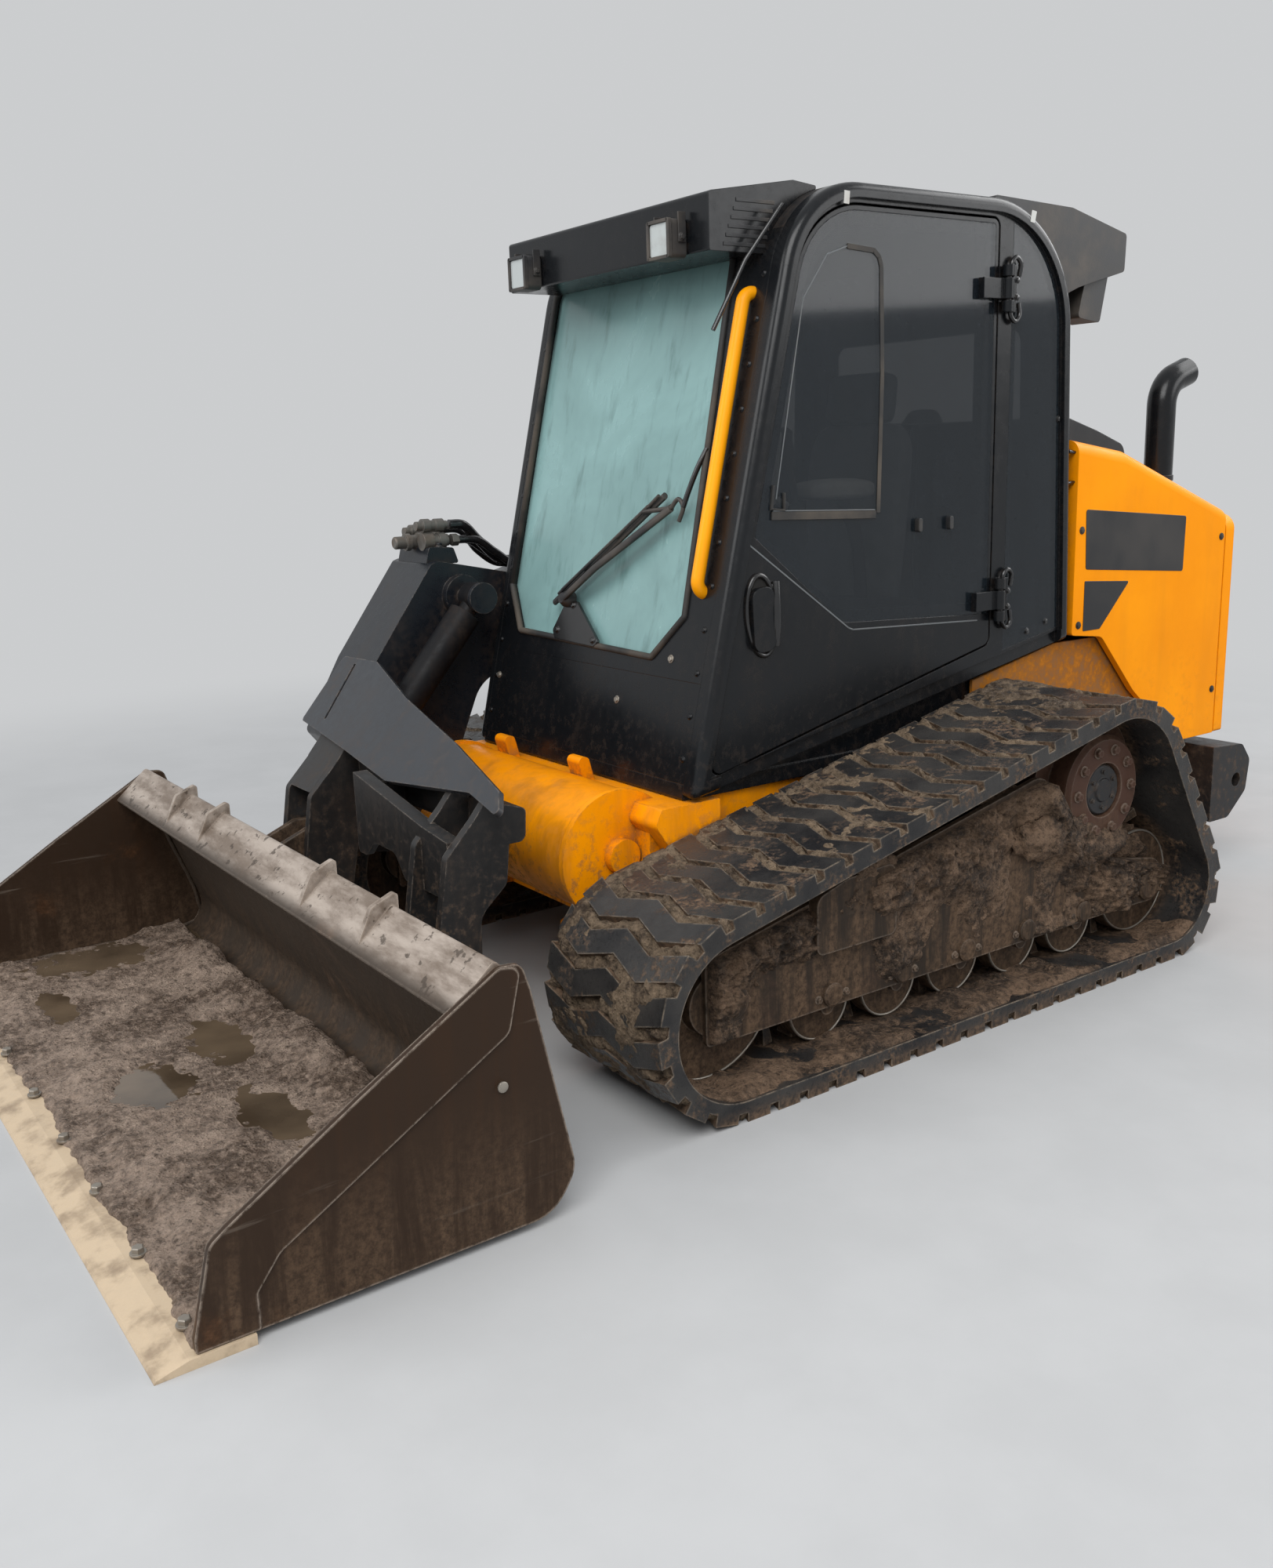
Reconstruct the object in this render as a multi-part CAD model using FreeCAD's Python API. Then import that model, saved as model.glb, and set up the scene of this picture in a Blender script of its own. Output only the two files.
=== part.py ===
import FreeCAD
import Part
import math
import os
from FreeCAD import Vector

# Compact track loader with one side arm, a side-entry cab and a bucket.
# Millimetres. X points to the machine's left, Y to its rear, Z up, and Z = 0 is the ground.
# Y is measured from a station below the cab, and every finished piece is moved so that
# the middle of the whole length lies at Y = 0.

# Widths that the rest follows
TUB_HALF = 480.0
CAB_OVERHANG = 60.0
TRACK_GAP = 70.0
ARM_CLEARANCE = 22.0
ARM_WIDTH = 258.0
BUMPER_OVERHANG = 120.0
BUCKET_OVERHANG = 90.0

# Tracks
TRACK_INNER_X = TUB_HALF + TRACK_GAP
TRACK_WIDTH = 450.0
TRACK_OUTER_X = TRACK_INNER_X + TRACK_WIDTH
TRACK_MID_X = TRACK_INNER_X + TRACK_WIDTH / 2
BELT_THICKNESS = 28.0
LUG_HEIGHT = 22.0
LUG_LENGTH = 64.0
LUG_PITCH = 88.0
LUG_ZIGZAG = 18.0
GUIDE_HEIGHT = 50.0
GUIDE_WIDTH = 56.0
GUIDE_LENGTH = 30.0
SINK = 3.0
LUG_SINK = 7.0
FRONT_IDLER_Y = -1000.0
FRONT_IDLER_REACH = 240.0
SPROCKET_Y = 312.0
SPROCKET_Z = 520.0
SPROCKET_REACH = 256.0
REAR_IDLER_Y = 558.0
REAR_IDLER_REACH = 200.0
BELT_TOTAL = BELT_THICKNESS + LUG_HEIGHT
ROLLER_RADIUS = 95.0
ROLLER_COUNT = 5
ROLLER_FIRST_Y = -662.0
ROLLER_SPACING = 233.0

# Track frames
FRAME_INSET = 100.0
FRAME_INNER_X = TRACK_INNER_X + FRAME_INSET
FRAME_OUTER_X = TRACK_OUTER_X - FRAME_INSET
FRAME_PLATE = 15.0
BEAM_LOW_Z = 262.0
BEAM_HIGH_Z = 330.0
FRAME_LOW_Z = 150.0
FRAME_FRONT_Y = -1040.0
WHEEL_SIDE_GAP = 34.0
WHEEL_TREAD_OUT = FRAME_OUTER_X - FRAME_PLATE - WHEEL_SIDE_GAP - TRACK_MID_X
WHEEL_TREAD_IN = GUIDE_WIDTH / 2 + 4
DRIVE_HUB_RADIUS = 150.0
DRIVE_HUB_X = TRACK_OUTER_X - 78.0
COVER_PROUD = 30.0

# Chassis
TUB_FRONT_Y = -880.0
TUB_REAR_Y = 1330.0
TUB_LOW_Z = 240.0
TUB_HIGH_Z = 600.0
NOSE_Y = -930.0
NOSE_Z = 470.0
NOSE_RADIUS = 160.0
NOSE_HALF = TUB_HALF - 80.0
BUMPER_HALF = TUB_HALF + BUMPER_OVERHANG
BUMPER_REAR_Y = 1545.0
BUMPER_LOW_Z = 180.0
BUMPER_HIGH_Z = 436.0
TIE_RADIUS = 24.0
TIE_PLATE = 25.0
FRONT_TIE_RADIUS = 20.0
FRONT_TIE_X = 262.5
FRONT_TIE_Y = -965.0
FRONT_TIE_REACH = 45.0
RAIL_FRONT_Y = 890.0
FENDER_FRONT_Y = 245.0
FENDER_FRONT_Z = 780.0
FENDER_HIGH_Z = 850.0
FENDER_REAR_Y = 1180.0
FENDER_PLATE = 10.5

# Cab
CAB_HALF = TUB_HALF + CAB_OVERHANG
CAB_WALL = 40.0
CAB_CORE = CAB_HALF - CAB_WALL
FENDER_X = CAB_CORE + 1.5
CAB_TOP_Z = 2070.0
CAB_FRONT_Y = -795.0
PILLAR_TOP_Y = -438.0
CAB_REAR_TOP_Y = 569.0
CAB_REAR_LOW_Y = 625.0
SILL_FRONT_Z = 606.0
SILL_MID_Y = 240.0
SILL_MID_Z = 795.0
SILL_REAR_Z = 866.0
SILL_CORNER = 12.0
RIM_WIDTH = 38.0
RIM_PROUD = 14.0
RIM_ROUND = 24.0
FRONT_ARCH = 260.0
REAR_ARCH = 330.0
DOOR_REAR_Y = 275.0
DOOR_GAP = 6.0
DOOR_TOP_DROP = 54.0
DOOR_RAIL = 42.0
RIGHT_WINDOW_TOP_DROP = 80.0
SCREEN_TOP_DROP = 45.0
GLASS = 8.0
GLASS_INSET = 14.0
QUARTER_MARGIN = 48.0
QUARTER_FRONT_Y = 336.0
QUARTER_LAP = 26.0
PANE_BACK_X = CAB_HALF - GLASS
PANE_EDGE = 12.0
SEAT_GAP = 0.5
CREASE_FRONT_Z = 1379.0
CREASE_Y = -288.0
CREASE_Z = 1000.0
ROOF_SPLIT_Z = CAB_TOP_Z - 110.0
PANEL_SPLIT_Z = 885.0
FLOOR_PLATE = 40.0
SILL_GAP = 6.0
SILL_WIDTH = 30.0
VISOR_HALF = CAB_HALF - 80.0
VISOR_FRONT_Y = PILLAR_TOP_Y - 204.0
VISOR_DROP = 168.0
SEAT_SHARE = 0.48
CONSOLE_SHARE = 0.15
CONSOLE_PLACE = 0.74
HANDLE_RADIUS = 17.0
HANDLE_BEND = 30.0
HANDLE_LOW_Z = TUB_HIGH_Z + 0.347 * (CAB_TOP_Z - TUB_HIGH_Z)
HANDLE_TOP_Z = TUB_HIGH_Z + 0.8333 * (CAB_TOP_Z - TUB_HIGH_Z)
HANDLE_PROUD = 25.0
LAMP_INSET = 128.0
LAMP_SIZE = 90.0
LAMP_DEPTH = 58.0
DOOR_HINGE_X = CAB_HALF + 22.0
DOOR_HINGE_Y = 292.0
HINGE_RADIUS = 9.0
BARREL_RADIUS = 16.0
FIT = 0.05

# Engine body
BODY_SIDE_GAP = 5.0
TOWER_PLATE = 30.0
TOWER_SIDE_GAP = 7.0
ARM_INNER_X = -(CAB_HALF + ARM_CLEARANCE)
BODY_LEFT_X = CAB_HALF + BODY_SIDE_GAP
BODY_RIGHT_X = ARM_INNER_X + TOWER_SIDE_GAP + TOWER_PLATE + BODY_SIDE_GAP
BODY_FRONT_Y = 640.0
BODY_REAR_Y = 1400.0
BODY_LOW_Z = 470.0
BODY_WALL = 22.0
HOOD_ROUND = 38.0
BODY_REAR_TOP_Z = 1209.0
REAR_DOOR_THICK = 45.0
REAR_DOOR_GAP = 6.0
REAR_HINGE_X = BODY_RIGHT_X - 24.0
REAR_HINGE_Y = BODY_REAR_Y + REAR_DOOR_GAP + 20.0
REAR_HINGE_HEIGHTS = (660.0, 1040.0)

# Boom
PIVOT_Y = 1150.0
PIVOT_Z = 1450.0
PIVOT_PIN = 40.0
ARM_OUTER_X = ARM_INNER_X - ARM_WIDTH
ARM_MID_X = (ARM_INNER_X + ARM_OUTER_X) / 2
ARM_END = 95.0
LIFT_BASE_Y = 1110.0
LIFT_BASE_Z = 900.0
LIFT_EYE_Y = 150.0
LIFT_EYE_Z = 915.0
LIFT_BARREL = 55.0
LIFT_ROD = 30.0
LIFT_STROKE = 530.0
LIFT_SHARE = 0.78
LIFT_PIN = 28.0
LIFT_EYE = 50.0
LIFT_EYE_WIDTH = 64.0
LUG_PLATE = 25.0
RAM_WALL = 12.0

# Headstock and bucket pivot
BUCKET_PIN_Y = -1400.0
BUCKET_PIN_Z = 190.0
BUCKET_PIN = 25.0
TILT_BASE_Y = -812.0
TILT_BASE_Z = 1045.0
TILT_EYE_Y = -1370.0
TILT_EYE_Z = 405.0
TILT_BARREL = 48.0
TILT_ROD = 26.0
TILT_STROKE = 320.0
TILT_SHARE = 0.74
TILT_EYE = 44.0
TILT_EYE_WIDTH = 60.0
TILT_X = ARM_INNER_X + 95.0
LEFT_LEG_X = TUB_HALF - 150.0
CHEEK_PLATE = 25.0
TILT_LEG_REAR_Y = -1140.0
LEFT_LEG_REAR_Y = -1236.0
CHEEK_OFFSET = 67.0
EAR_PLATE = 20.0
EAR_OFFSET = 42.0
GUARD_PLATE = 16.0
GUARD_TOP_Y = -1136.0
GUARD_TOP_Z = 872.0
GUARD_SLOPE = 0.832

# Bucket
HITCH_FOOT = 72.0
BUCKET_HALF = TRACK_OUTER_X + BUCKET_OVERHANG
BUCKET_SIDE = 16.0
BUCKET_SHELL = 14.0
LIP_Y = -2335.0
EDGE_LENGTH = 175.0
EDGE_REAR_Y = LIP_Y + EDGE_LENGTH
EDGE_THICK = 20.0
BUCKET_FLOOR_Z = 18.0
BUCKET_BACK_LOW_Y = -1506.0
BUCKET_BACK_LOW_Z = 100.0
BUCKET_BACK_TOP_Y = -1588.0
BUCKET_BACK_TOP_Z = 490.0

MIDDLE_Y = (LIP_Y + BUMPER_REAR_Y) / 2


# Shapes

def block(x0, x1, y0, y1, z0, z1):
    corner = Vector(min(x0, x1), min(y0, y1), min(z0, z1))
    return Part.makeBox(abs(x1 - x0), abs(y1 - y0), abs(z1 - z0), corner)


def rod_x(y, z, radius, x0, x1):
    return Part.makeCylinder(radius, abs(x1 - x0), Vector(min(x0, x1), y, z), Vector(1, 0, 0))


def rod_z(x, y, radius, z0, z1):
    return Part.makeCylinder(radius, abs(z1 - z0), Vector(x, y, min(z0, z1)), Vector(0, 0, 1))


def rod_between(start, end, radius):
    way = end - start
    return Part.makeCylinder(radius, way.Length, start, way)


def rounded_face(rows, place):
    """Closed face. Each row is u, v and the corner's radius; place turns u, v into a point."""
    edges = []
    bends = []
    for index, (u, v, radius) in enumerate(rows):
        here = Vector(u, v, 0)
        before = Vector(rows[index - 1][0], rows[index - 1][1], 0) - here
        after = Vector(rows[(index + 1) % len(rows)][0], rows[(index + 1) % len(rows)][1], 0) - here
        before.normalize()
        after.normalize()
        half = before.getAngle(after) / 2
        cut = radius / math.tan(half)
        middle = before + after
        if radius > 0:
            middle.normalize()
        top = here + middle * (radius / math.sin(half) - radius)
        bends.append((here + before * cut, top, here + after * cut, radius))
    for index, (start, top, end, radius) in enumerate(bends):
        last = bends[index - 1][2]
        if (start - last).Length > 1e-6:
            edges.append(Part.makeLine(place(last.x, last.y), place(start.x, start.y)))
        if radius > 0:
            spots = [place(spot.x, spot.y) for spot in (start, top, end)]
            edges.append(Part.Arc(*spots).toShape())
    return Part.Face(Part.Wire(edges))


def side_face(rows, x):
    return rounded_face(rows, lambda y, z: Vector(x, y, z))


def side_plate(rows, x0, x1):
    """Plate whose outline is seen from the side. Rows are y, z, radius."""
    return side_face(rows, x0).extrude(Vector(x1 - x0, 0, 0))


def front_plate(rows, y0, y1):
    """Plate whose outline is seen from the front. Rows are x, z, radius."""
    return rounded_face(rows, lambda x, z: Vector(x, y0, z)).extrude(Vector(0, y1 - y0, 0))


def inset_plate(rows, inset, x0, x1):
    """Side plate whose outline is moved in by inset, or out where inset is negative."""
    return side_face(rows, x0).makeOffset2D(-inset).extrude(Vector(x1 - x0, 0, 0))


def turned(rows, y, z):
    """Solid turned round an axis along X at y, z. Rows are x and radius."""
    points = [Vector(x, y, z + radius) for x, radius in rows]
    points = [Vector(rows[0][0], y, z)] + points + [Vector(rows[-1][0], y, z)]
    face = Part.Face(Part.makePolygon(points + [points[0]]))
    return face.revolve(Vector(0, y, z), Vector(1, 0, 0), 360)


def bent_tube(points, radius, bend):
    """Round bar along points, with an arc of radius bend at each inner point."""
    edges = []
    last = points[0]
    for index in range(1, len(points) - 1):
        here = points[index]
        before = (points[index - 1] - here).normalize()
        after = (points[index + 1] - here).normalize()
        half = before.getAngle(after) / 2
        cut = bend / math.tan(half)
        start = here + before * cut
        end = here + after * cut
        top = here + (before + after).normalize() * (bend / math.sin(half) - bend)
        edges.append(Part.makeLine(last, start))
        edges.append(Part.Arc(start, top, end).toShape())
        last = end
    edges.append(Part.makeLine(last, points[-1]))
    path = Part.Wire(edges)
    ring = Part.Wire(Part.makeCircle(radius, points[0], points[1] - points[0]))
    return path.makePipeShell([ring], True, True)


def fused(shapes):
    joined = shapes[0].fuse(shapes[1:]) if len(shapes) > 1 else shapes[0]
    return joined.removeSplitter()


def apart(shapes):
    return Part.makeCompound(shapes)


def mirrored(shape):
    return shape.mirror(Vector(0, 0, 0), Vector(1, 0, 0))


# Tracks

def loop_wheels(shrink):
    """Wheels that the belt runs round, as y, z, radius, in the order that the belt meets them."""
    return [
        (FRONT_IDLER_Y, FRONT_IDLER_REACH, FRONT_IDLER_REACH - shrink),
        (REAR_IDLER_Y, REAR_IDLER_REACH, REAR_IDLER_REACH - shrink),
        (SPROCKET_Y, SPROCKET_Z, SPROCKET_REACH - shrink),
    ]


def loop_pieces(shrink):
    """Straight runs of the belt and the wheels between them, as seen from the side."""
    wheels = loop_wheels(shrink)
    runs = []
    for index, (y, z, radius) in enumerate(wheels):
        next_y, next_z, next_radius = wheels[(index + 1) % len(wheels)]
        way = Vector(next_y - y, next_z - z, 0)
        span = way.Length
        way.normalize()
        share = (radius - next_radius) / span
        outward = way * share + Vector(way.y, -way.x, 0) * math.sqrt(1 - share * share)
        start = Vector(y, z, 0) + outward * radius
        end = Vector(next_y, next_z, 0) + outward * next_radius
        runs.append((start, end, outward))
    return wheels, runs


def loop_face(shrink, x):
    wheels, runs = loop_pieces(shrink)
    edges = []
    for index, (start, end, outward) in enumerate(runs):
        y, z, radius = wheels[(index + 1) % len(wheels)]
        next_start, _, next_outward = runs[(index + 1) % len(runs)]
        middle = Vector(y, z, 0) + (outward + next_outward).normalize() * radius
        edges.append(Part.makeLine(Vector(x, start.x, start.y), Vector(x, end.x, end.y)))
        arc = Part.Arc(Vector(x, end.x, end.y), Vector(x, middle.x, middle.y),
                       Vector(x, next_start.x, next_start.y))
        edges.append(arc.toShape())
    return Part.Face(Part.Wire(edges))


def loop_stations(shrink, pitch):
    """Even places along the belt, as point and outward direction, both y and z."""
    wheels, runs = loop_pieces(shrink)
    lengths = []
    turns = []
    for index, (start, end, outward) in enumerate(runs):
        next_outward = runs[(index + 1) % len(runs)][2]
        turn = math.atan2(next_outward.y, next_outward.x) - math.atan2(outward.y, outward.x)
        turns.append(turn % (2 * math.pi))
        lengths.append((end - start).Length)
        lengths.append(turns[-1] * wheels[(index + 1) % len(wheels)][2])
    total = sum(lengths)
    count = int(round(total / pitch))
    stations = []
    for number in range(count):
        left = (number + 0.5) * total / count
        part = 0
        while left > lengths[part]:
            left -= lengths[part]
            part += 1
        index = part // 2
        start, end, outward = runs[index]
        if part % 2 == 0:
            stations.append((start + (end - start).normalize() * left, outward))
        else:
            y, z, radius = wheels[(index + 1) % len(wheels)]
            angle = math.atan2(outward.y, outward.x) + left / radius
            away = Vector(math.cos(angle), math.sin(angle), 0)
            stations.append((Vector(y, z, 0) + away * radius, away))
    return stations


def zigzag_lug(place, outward):
    """Zigzag bar across the belt, standing on its outer face."""
    along = Vector(-outward.y, outward.x, 0)
    steps = 4
    front = []
    back = []
    for step in range(steps + 1):
        x = TRACK_INNER_X + TRACK_WIDTH * step / steps
        shift = LUG_ZIGZAG * (1 if step % 2 else -1)
        base = place - outward * LUG_SINK
        near = base + along * (shift - LUG_LENGTH / 2)
        far = base + along * (shift + LUG_LENGTH / 2)
        front.append(Vector(x, near.x, near.y))
        back.append(Vector(x, far.x, far.y))
    points = front + back[::-1]
    face = Part.Face(Part.makePolygon(points + [points[0]]))
    rise = outward * (LUG_HEIGHT + LUG_SINK)
    return face.extrude(Vector(0, rise.x, rise.y))


def guide_tooth(place, outward):
    """Tooth on the belt's inner face, narrower at its tip."""
    along = Vector(-outward.y, outward.x, 0)
    faces = []
    for depth, share in ((-SINK, 1.0), (GUIDE_HEIGHT, 0.6)):
        middle = place - outward * depth
        corners = []
        for side_x, side_y in ((-1, -1), (1, -1), (1, 1), (-1, 1)):
            spot = middle + along * (side_y * GUIDE_LENGTH * share / 2)
            corners.append(Vector(TRACK_MID_X + side_x * GUIDE_WIDTH * share / 2, spot.x, spot.y))
        faces.append(Part.makePolygon(corners + [corners[0]]))
    return Part.makeLoft(faces, True, True)


def track_belt():
    outer = loop_face(LUG_HEIGHT, TRACK_INNER_X)
    inner = loop_face(BELT_TOTAL, TRACK_INNER_X)
    belt = outer.cut(inner).extrude(Vector(TRACK_WIDTH, 0, 0))
    lugs = [zigzag_lug(*station) for station in loop_stations(LUG_HEIGHT, LUG_PITCH)]
    teeth = [guide_tooth(*station) for station in loop_stations(BELT_TOTAL, LUG_PITCH)]
    below = block(TRACK_INNER_X - 1, TRACK_OUTER_X + 1, FRONT_IDLER_Y - 400, REAR_IDLER_Y + 400, -50, 0)
    return belt.fuse(lugs + teeth).cut(below)


def grooved_wheel(y, z, radius, core, x_low, x_high):
    """Wheel with two treads either side of the belt's teeth, and stub axles to the frame plates."""
    stub = core * 0.6
    rows = [
        (x_low, stub),
        (TRACK_MID_X - WHEEL_TREAD_OUT, stub),
        (TRACK_MID_X - WHEEL_TREAD_OUT, radius),
        (TRACK_MID_X - WHEEL_TREAD_IN, radius),
        (TRACK_MID_X - WHEEL_TREAD_IN, core),
        (TRACK_MID_X + WHEEL_TREAD_IN, core),
        (TRACK_MID_X + WHEEL_TREAD_IN, radius),
        (TRACK_MID_X + WHEEL_TREAD_OUT, radius),
        (TRACK_MID_X + WHEEL_TREAD_OUT, stub),
        (x_high, stub),
    ]
    return turned(rows, y, z)


def track_wheels():
    """Bottom rollers and the two idlers of one track."""
    wheels = []
    for index in range(ROLLER_COUNT):
        y = ROLLER_FIRST_Y + index * ROLLER_SPACING
        z = BELT_TOTAL + ROLLER_RADIUS
        wheels.append(grooved_wheel(y, z, ROLLER_RADIUS, ROLLER_RADIUS - GUIDE_HEIGHT - 10,
                                    FRAME_INNER_X + FRAME_PLATE, FRAME_OUTER_X - FRAME_PLATE))
    for y, reach in ((FRONT_IDLER_Y, FRONT_IDLER_REACH), (REAR_IDLER_Y, REAR_IDLER_REACH)):
        radius = reach - BELT_TOTAL
        wheels.append(grooved_wheel(y, reach, radius, radius - GUIDE_HEIGHT - 15,
                                    FRAME_INNER_X + FRAME_PLATE, FRAME_OUTER_X - FRAME_PLATE))
    return apart(wheels)


def drive_sprocket():
    radius = SPROCKET_REACH - BELT_TOTAL
    wheel = grooved_wheel(SPROCKET_Y, SPROCKET_Z, radius, radius - GUIDE_HEIGHT - 15,
                          FRAME_INNER_X, DRIVE_HUB_X - 100)
    hub = turned([(TRACK_MID_X + WHEEL_TREAD_OUT - 1, DRIVE_HUB_RADIUS),
                  (DRIVE_HUB_X - 12, DRIVE_HUB_RADIUS), (DRIVE_HUB_X, DRIVE_HUB_RADIUS - 12),
                  (DRIVE_HUB_X, 75.0), (DRIVE_HUB_X - 18, 70.0)], SPROCKET_Y, SPROCKET_Z)
    return fused([wheel, hub])


def final_drive():
    """Drive housing from the tub's side out to the sprocket."""
    neck_end = TUB_HALF + 25
    drum_end = TRACK_INNER_X + 60
    return turned([(TUB_HALF - 1, 75.0), (neck_end, 75.0), (neck_end, 130.0), (drum_end, 130.0),
                   (drum_end, 105.0), (FRAME_INNER_X, 105.0)], SPROCKET_Y, SPROCKET_Z)


def track_frame():
    top_slope = (SPROCKET_Z - FRONT_IDLER_REACH) / (SPROCKET_Y - FRONT_IDLER_Y)
    front_top = FRONT_IDLER_REACH + 115
    rows = [
        (FRAME_FRONT_Y, FRAME_LOW_Z, 12),
        (FRAME_FRONT_Y, front_top, 30),
        (90, front_top + (90 - FRAME_FRONT_Y) * top_slope, 60),
        (260, 330, 60),
        (REAR_IDLER_Y + 65, REAR_IDLER_REACH + 65, 60),
        (REAR_IDLER_Y + 65, REAR_IDLER_REACH - 55, 55),
        (420, FRAME_LOW_Z, 20),
    ]
    hub_room = rod_x(SPROCKET_Y, SPROCKET_Z, DRIVE_HUB_RADIUS + 10, FRAME_INNER_X - 1, FRAME_OUTER_X + 1)
    plates = []
    for x in (FRAME_INNER_X, FRAME_OUTER_X - FRAME_PLATE):
        plates.append(side_plate(rows, x, x + FRAME_PLATE).cut(hub_room))
    beam = block(FRAME_INNER_X, FRAME_OUTER_X, -790, 190, BEAM_LOW_Z, BEAM_HIGH_Z)
    cover_rows = [(-735, 300, 20), (-735, 440, 30), (-640, 470, 30), (-480, 480, 30), (-480, 300, 20)]
    cover = side_plate(cover_rows, FRAME_OUTER_X - 1, FRAME_OUTER_X + COVER_PROUD)
    return fused(plates + [beam, cover])


# Chassis

def front_tie(side):
    """Level plate with an upright hole, under the nose."""
    x0 = side * FRONT_TIE_X - FRONT_TIE_REACH
    x1 = side * FRONT_TIE_X + FRONT_TIE_REACH
    plate = block(x0, x1, FRONT_TIE_Y, TUB_FRONT_Y + 1, TUB_LOW_Z, TUB_LOW_Z + TIE_PLATE)
    end = rod_z(side * FRONT_TIE_X, FRONT_TIE_Y, FRONT_TIE_REACH, TUB_LOW_Z, TUB_LOW_Z + TIE_PLATE)
    hole = rod_z(side * FRONT_TIE_X, FRONT_TIE_Y, FRONT_TIE_RADIUS, TUB_LOW_Z - 1,
                 TUB_LOW_Z + TIE_PLATE + 1)
    return plate.fuse(end).cut(hole)


def inner_fender(rear_y):
    """Upright panel on the left between the tub and the cab's sill, with a flange to the tub."""
    top = [(FENDER_FRONT_Y, TUB_HIGH_Z - 20, 0), (FENDER_FRONT_Y, FENDER_FRONT_Z, 0),
           (CAB_REAR_LOW_Y - 25, FENDER_HIGH_Z, 0), (rear_y, FENDER_HIGH_Z, 0)]
    if rear_y > RAIL_FRONT_Y:
        low = [(rear_y, TUB_HIGH_Z + 30, 0), (RAIL_FRONT_Y, TUB_HIGH_Z + 30, 0),
               (RAIL_FRONT_Y, TUB_HIGH_Z - 20, 0)]
    else:
        low = [(rear_y, TUB_HIGH_Z - 20, 0)]
    panel = side_plate(top + low, FENDER_X, FENDER_X + FENDER_PLATE)
    flange = block(TUB_HALF - 1, FENDER_X + 1, FENDER_FRONT_Y, min(rear_y, RAIL_FRONT_Y),
                   TUB_HIGH_Z - 20, TUB_HIGH_Z - 2)
    return panel.fuse(flange)


def chassis_frame():
    tub = block(-TUB_HALF, TUB_HALF, TUB_FRONT_Y, TUB_REAR_Y, TUB_LOW_Z, TUB_HIGH_Z)
    nose = rod_x(NOSE_Y, NOSE_Z, NOSE_RADIUS, -NOSE_HALF, NOSE_HALF)
    pieces = [tub, nose]
    for side in (-1, 1):
        cap = rod_x(NOSE_Y, NOSE_Z, NOSE_RADIUS + 8, side * (NOSE_HALF - 1), side * (NOSE_HALF + 18))
        boss = rod_x(NOSE_Y, NOSE_Z, 45, side * (NOSE_HALF + 10), side * (NOSE_HALF + 45))
        wing_rows = [(-840, 470, 20), (-900, 560, 20), (-880, TUB_HIGH_Z, 5), (-700, TUB_HIGH_Z, 5),
                     (-700, 470, 20)]
        wing = side_plate(wing_rows, side * (NOSE_HALF + 17), side * (TRACK_INNER_X - 15))
        pieces += [cap, boss, wing]
        for y in (-700, 100):
            pieces.append(block(side * (TUB_HALF - 1), side * FRAME_INNER_X, y - 70, y + 70,
                                BEAM_LOW_Z, BEAM_HIGH_Z))
        pieces.append(front_tie(side))
    drive = final_drive()
    pieces += [drive, mirrored(drive), inner_fender(FENDER_REAR_Y),
               mirrored(inner_fender(CAB_REAR_LOW_Y))]
    for x in (-300, 90):
        tab = side_plate([(-850, 580, 3), (-872, 665, 14), (-838, 665, 14), (-815, 580, 3)], x, x + 60)
        pieces.append(tab)
    return fused(pieces)


def rear_bumper():
    rows = [(TUB_REAR_Y, BUMPER_LOW_Z, 5), (TUB_REAR_Y, BUMPER_HIGH_Z, 5),
            (BUMPER_REAR_Y - 50, BUMPER_HIGH_Z - 10, 30), (BUMPER_REAR_Y, BUMPER_HIGH_Z - 70, 30),
            (BUMPER_REAR_Y - 15, BUMPER_LOW_Z + 80, 30), (BUMPER_REAR_Y - 110, BUMPER_LOW_Z, 30)]
    body = side_plate(rows, -BUMPER_HALF, BUMPER_HALF)
    for side in (-1, 1):
        room = block(side * (BUMPER_HALF - 90), side * (BUMPER_HALF - 30), TUB_REAR_Y + 60,
                     BUMPER_REAR_Y + 5, BUMPER_LOW_Z - 5, BUMPER_HIGH_Z - 60)
        hole = rod_x(BUMPER_REAR_Y - 75, BUMPER_LOW_Z + 125, TIE_RADIUS, side * (BUMPER_HALF - 35),
                     side * (BUMPER_HALF + 5))
        body = body.cut(room).cut(hole)
    return body


def boom_tower():
    inner_x = ARM_INNER_X + TOWER_SIDE_GAP
    outer_x = ARM_OUTER_X - TOWER_SIDE_GAP
    rows = [(840, 440, 10), (870, 800, 60), (PIVOT_Y - 110, PIVOT_Z + 60, 60),
            (PIVOT_Y - 60, PIVOT_Z + 115, 60), (PIVOT_Y + 60, PIVOT_Z + 115, 60),
            (PIVOT_Y + 120, PIVOT_Z - 40, 60), (TUB_REAR_Y, 900, 120), (TUB_REAR_Y, 440, 10)]
    plates = []
    for x0, x1 in ((inner_x, inner_x + TOWER_PLATE), (outer_x, outer_x - TOWER_PLATE)):
        plates.append(side_plate(rows, x0, x1))
    foot = block(-TUB_HALF, outer_x - TOWER_PLATE, 840, TUB_REAR_Y, 440, 590)
    pins = []
    for y, z, radius in ((PIVOT_Y, PIVOT_Z, PIVOT_PIN), (LIFT_BASE_Y, LIFT_BASE_Z, LIFT_PIN)):
        pins.append(rod_x(y, z, radius, outer_x - TOWER_PLATE, inner_x + TOWER_PLATE))
        pins.append(rod_x(y, z, radius + 18, outer_x - TOWER_PLATE - 12, outer_x - TOWER_PLATE + 1))
    return fused(plates + [foot] + pins)


# Cab

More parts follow.
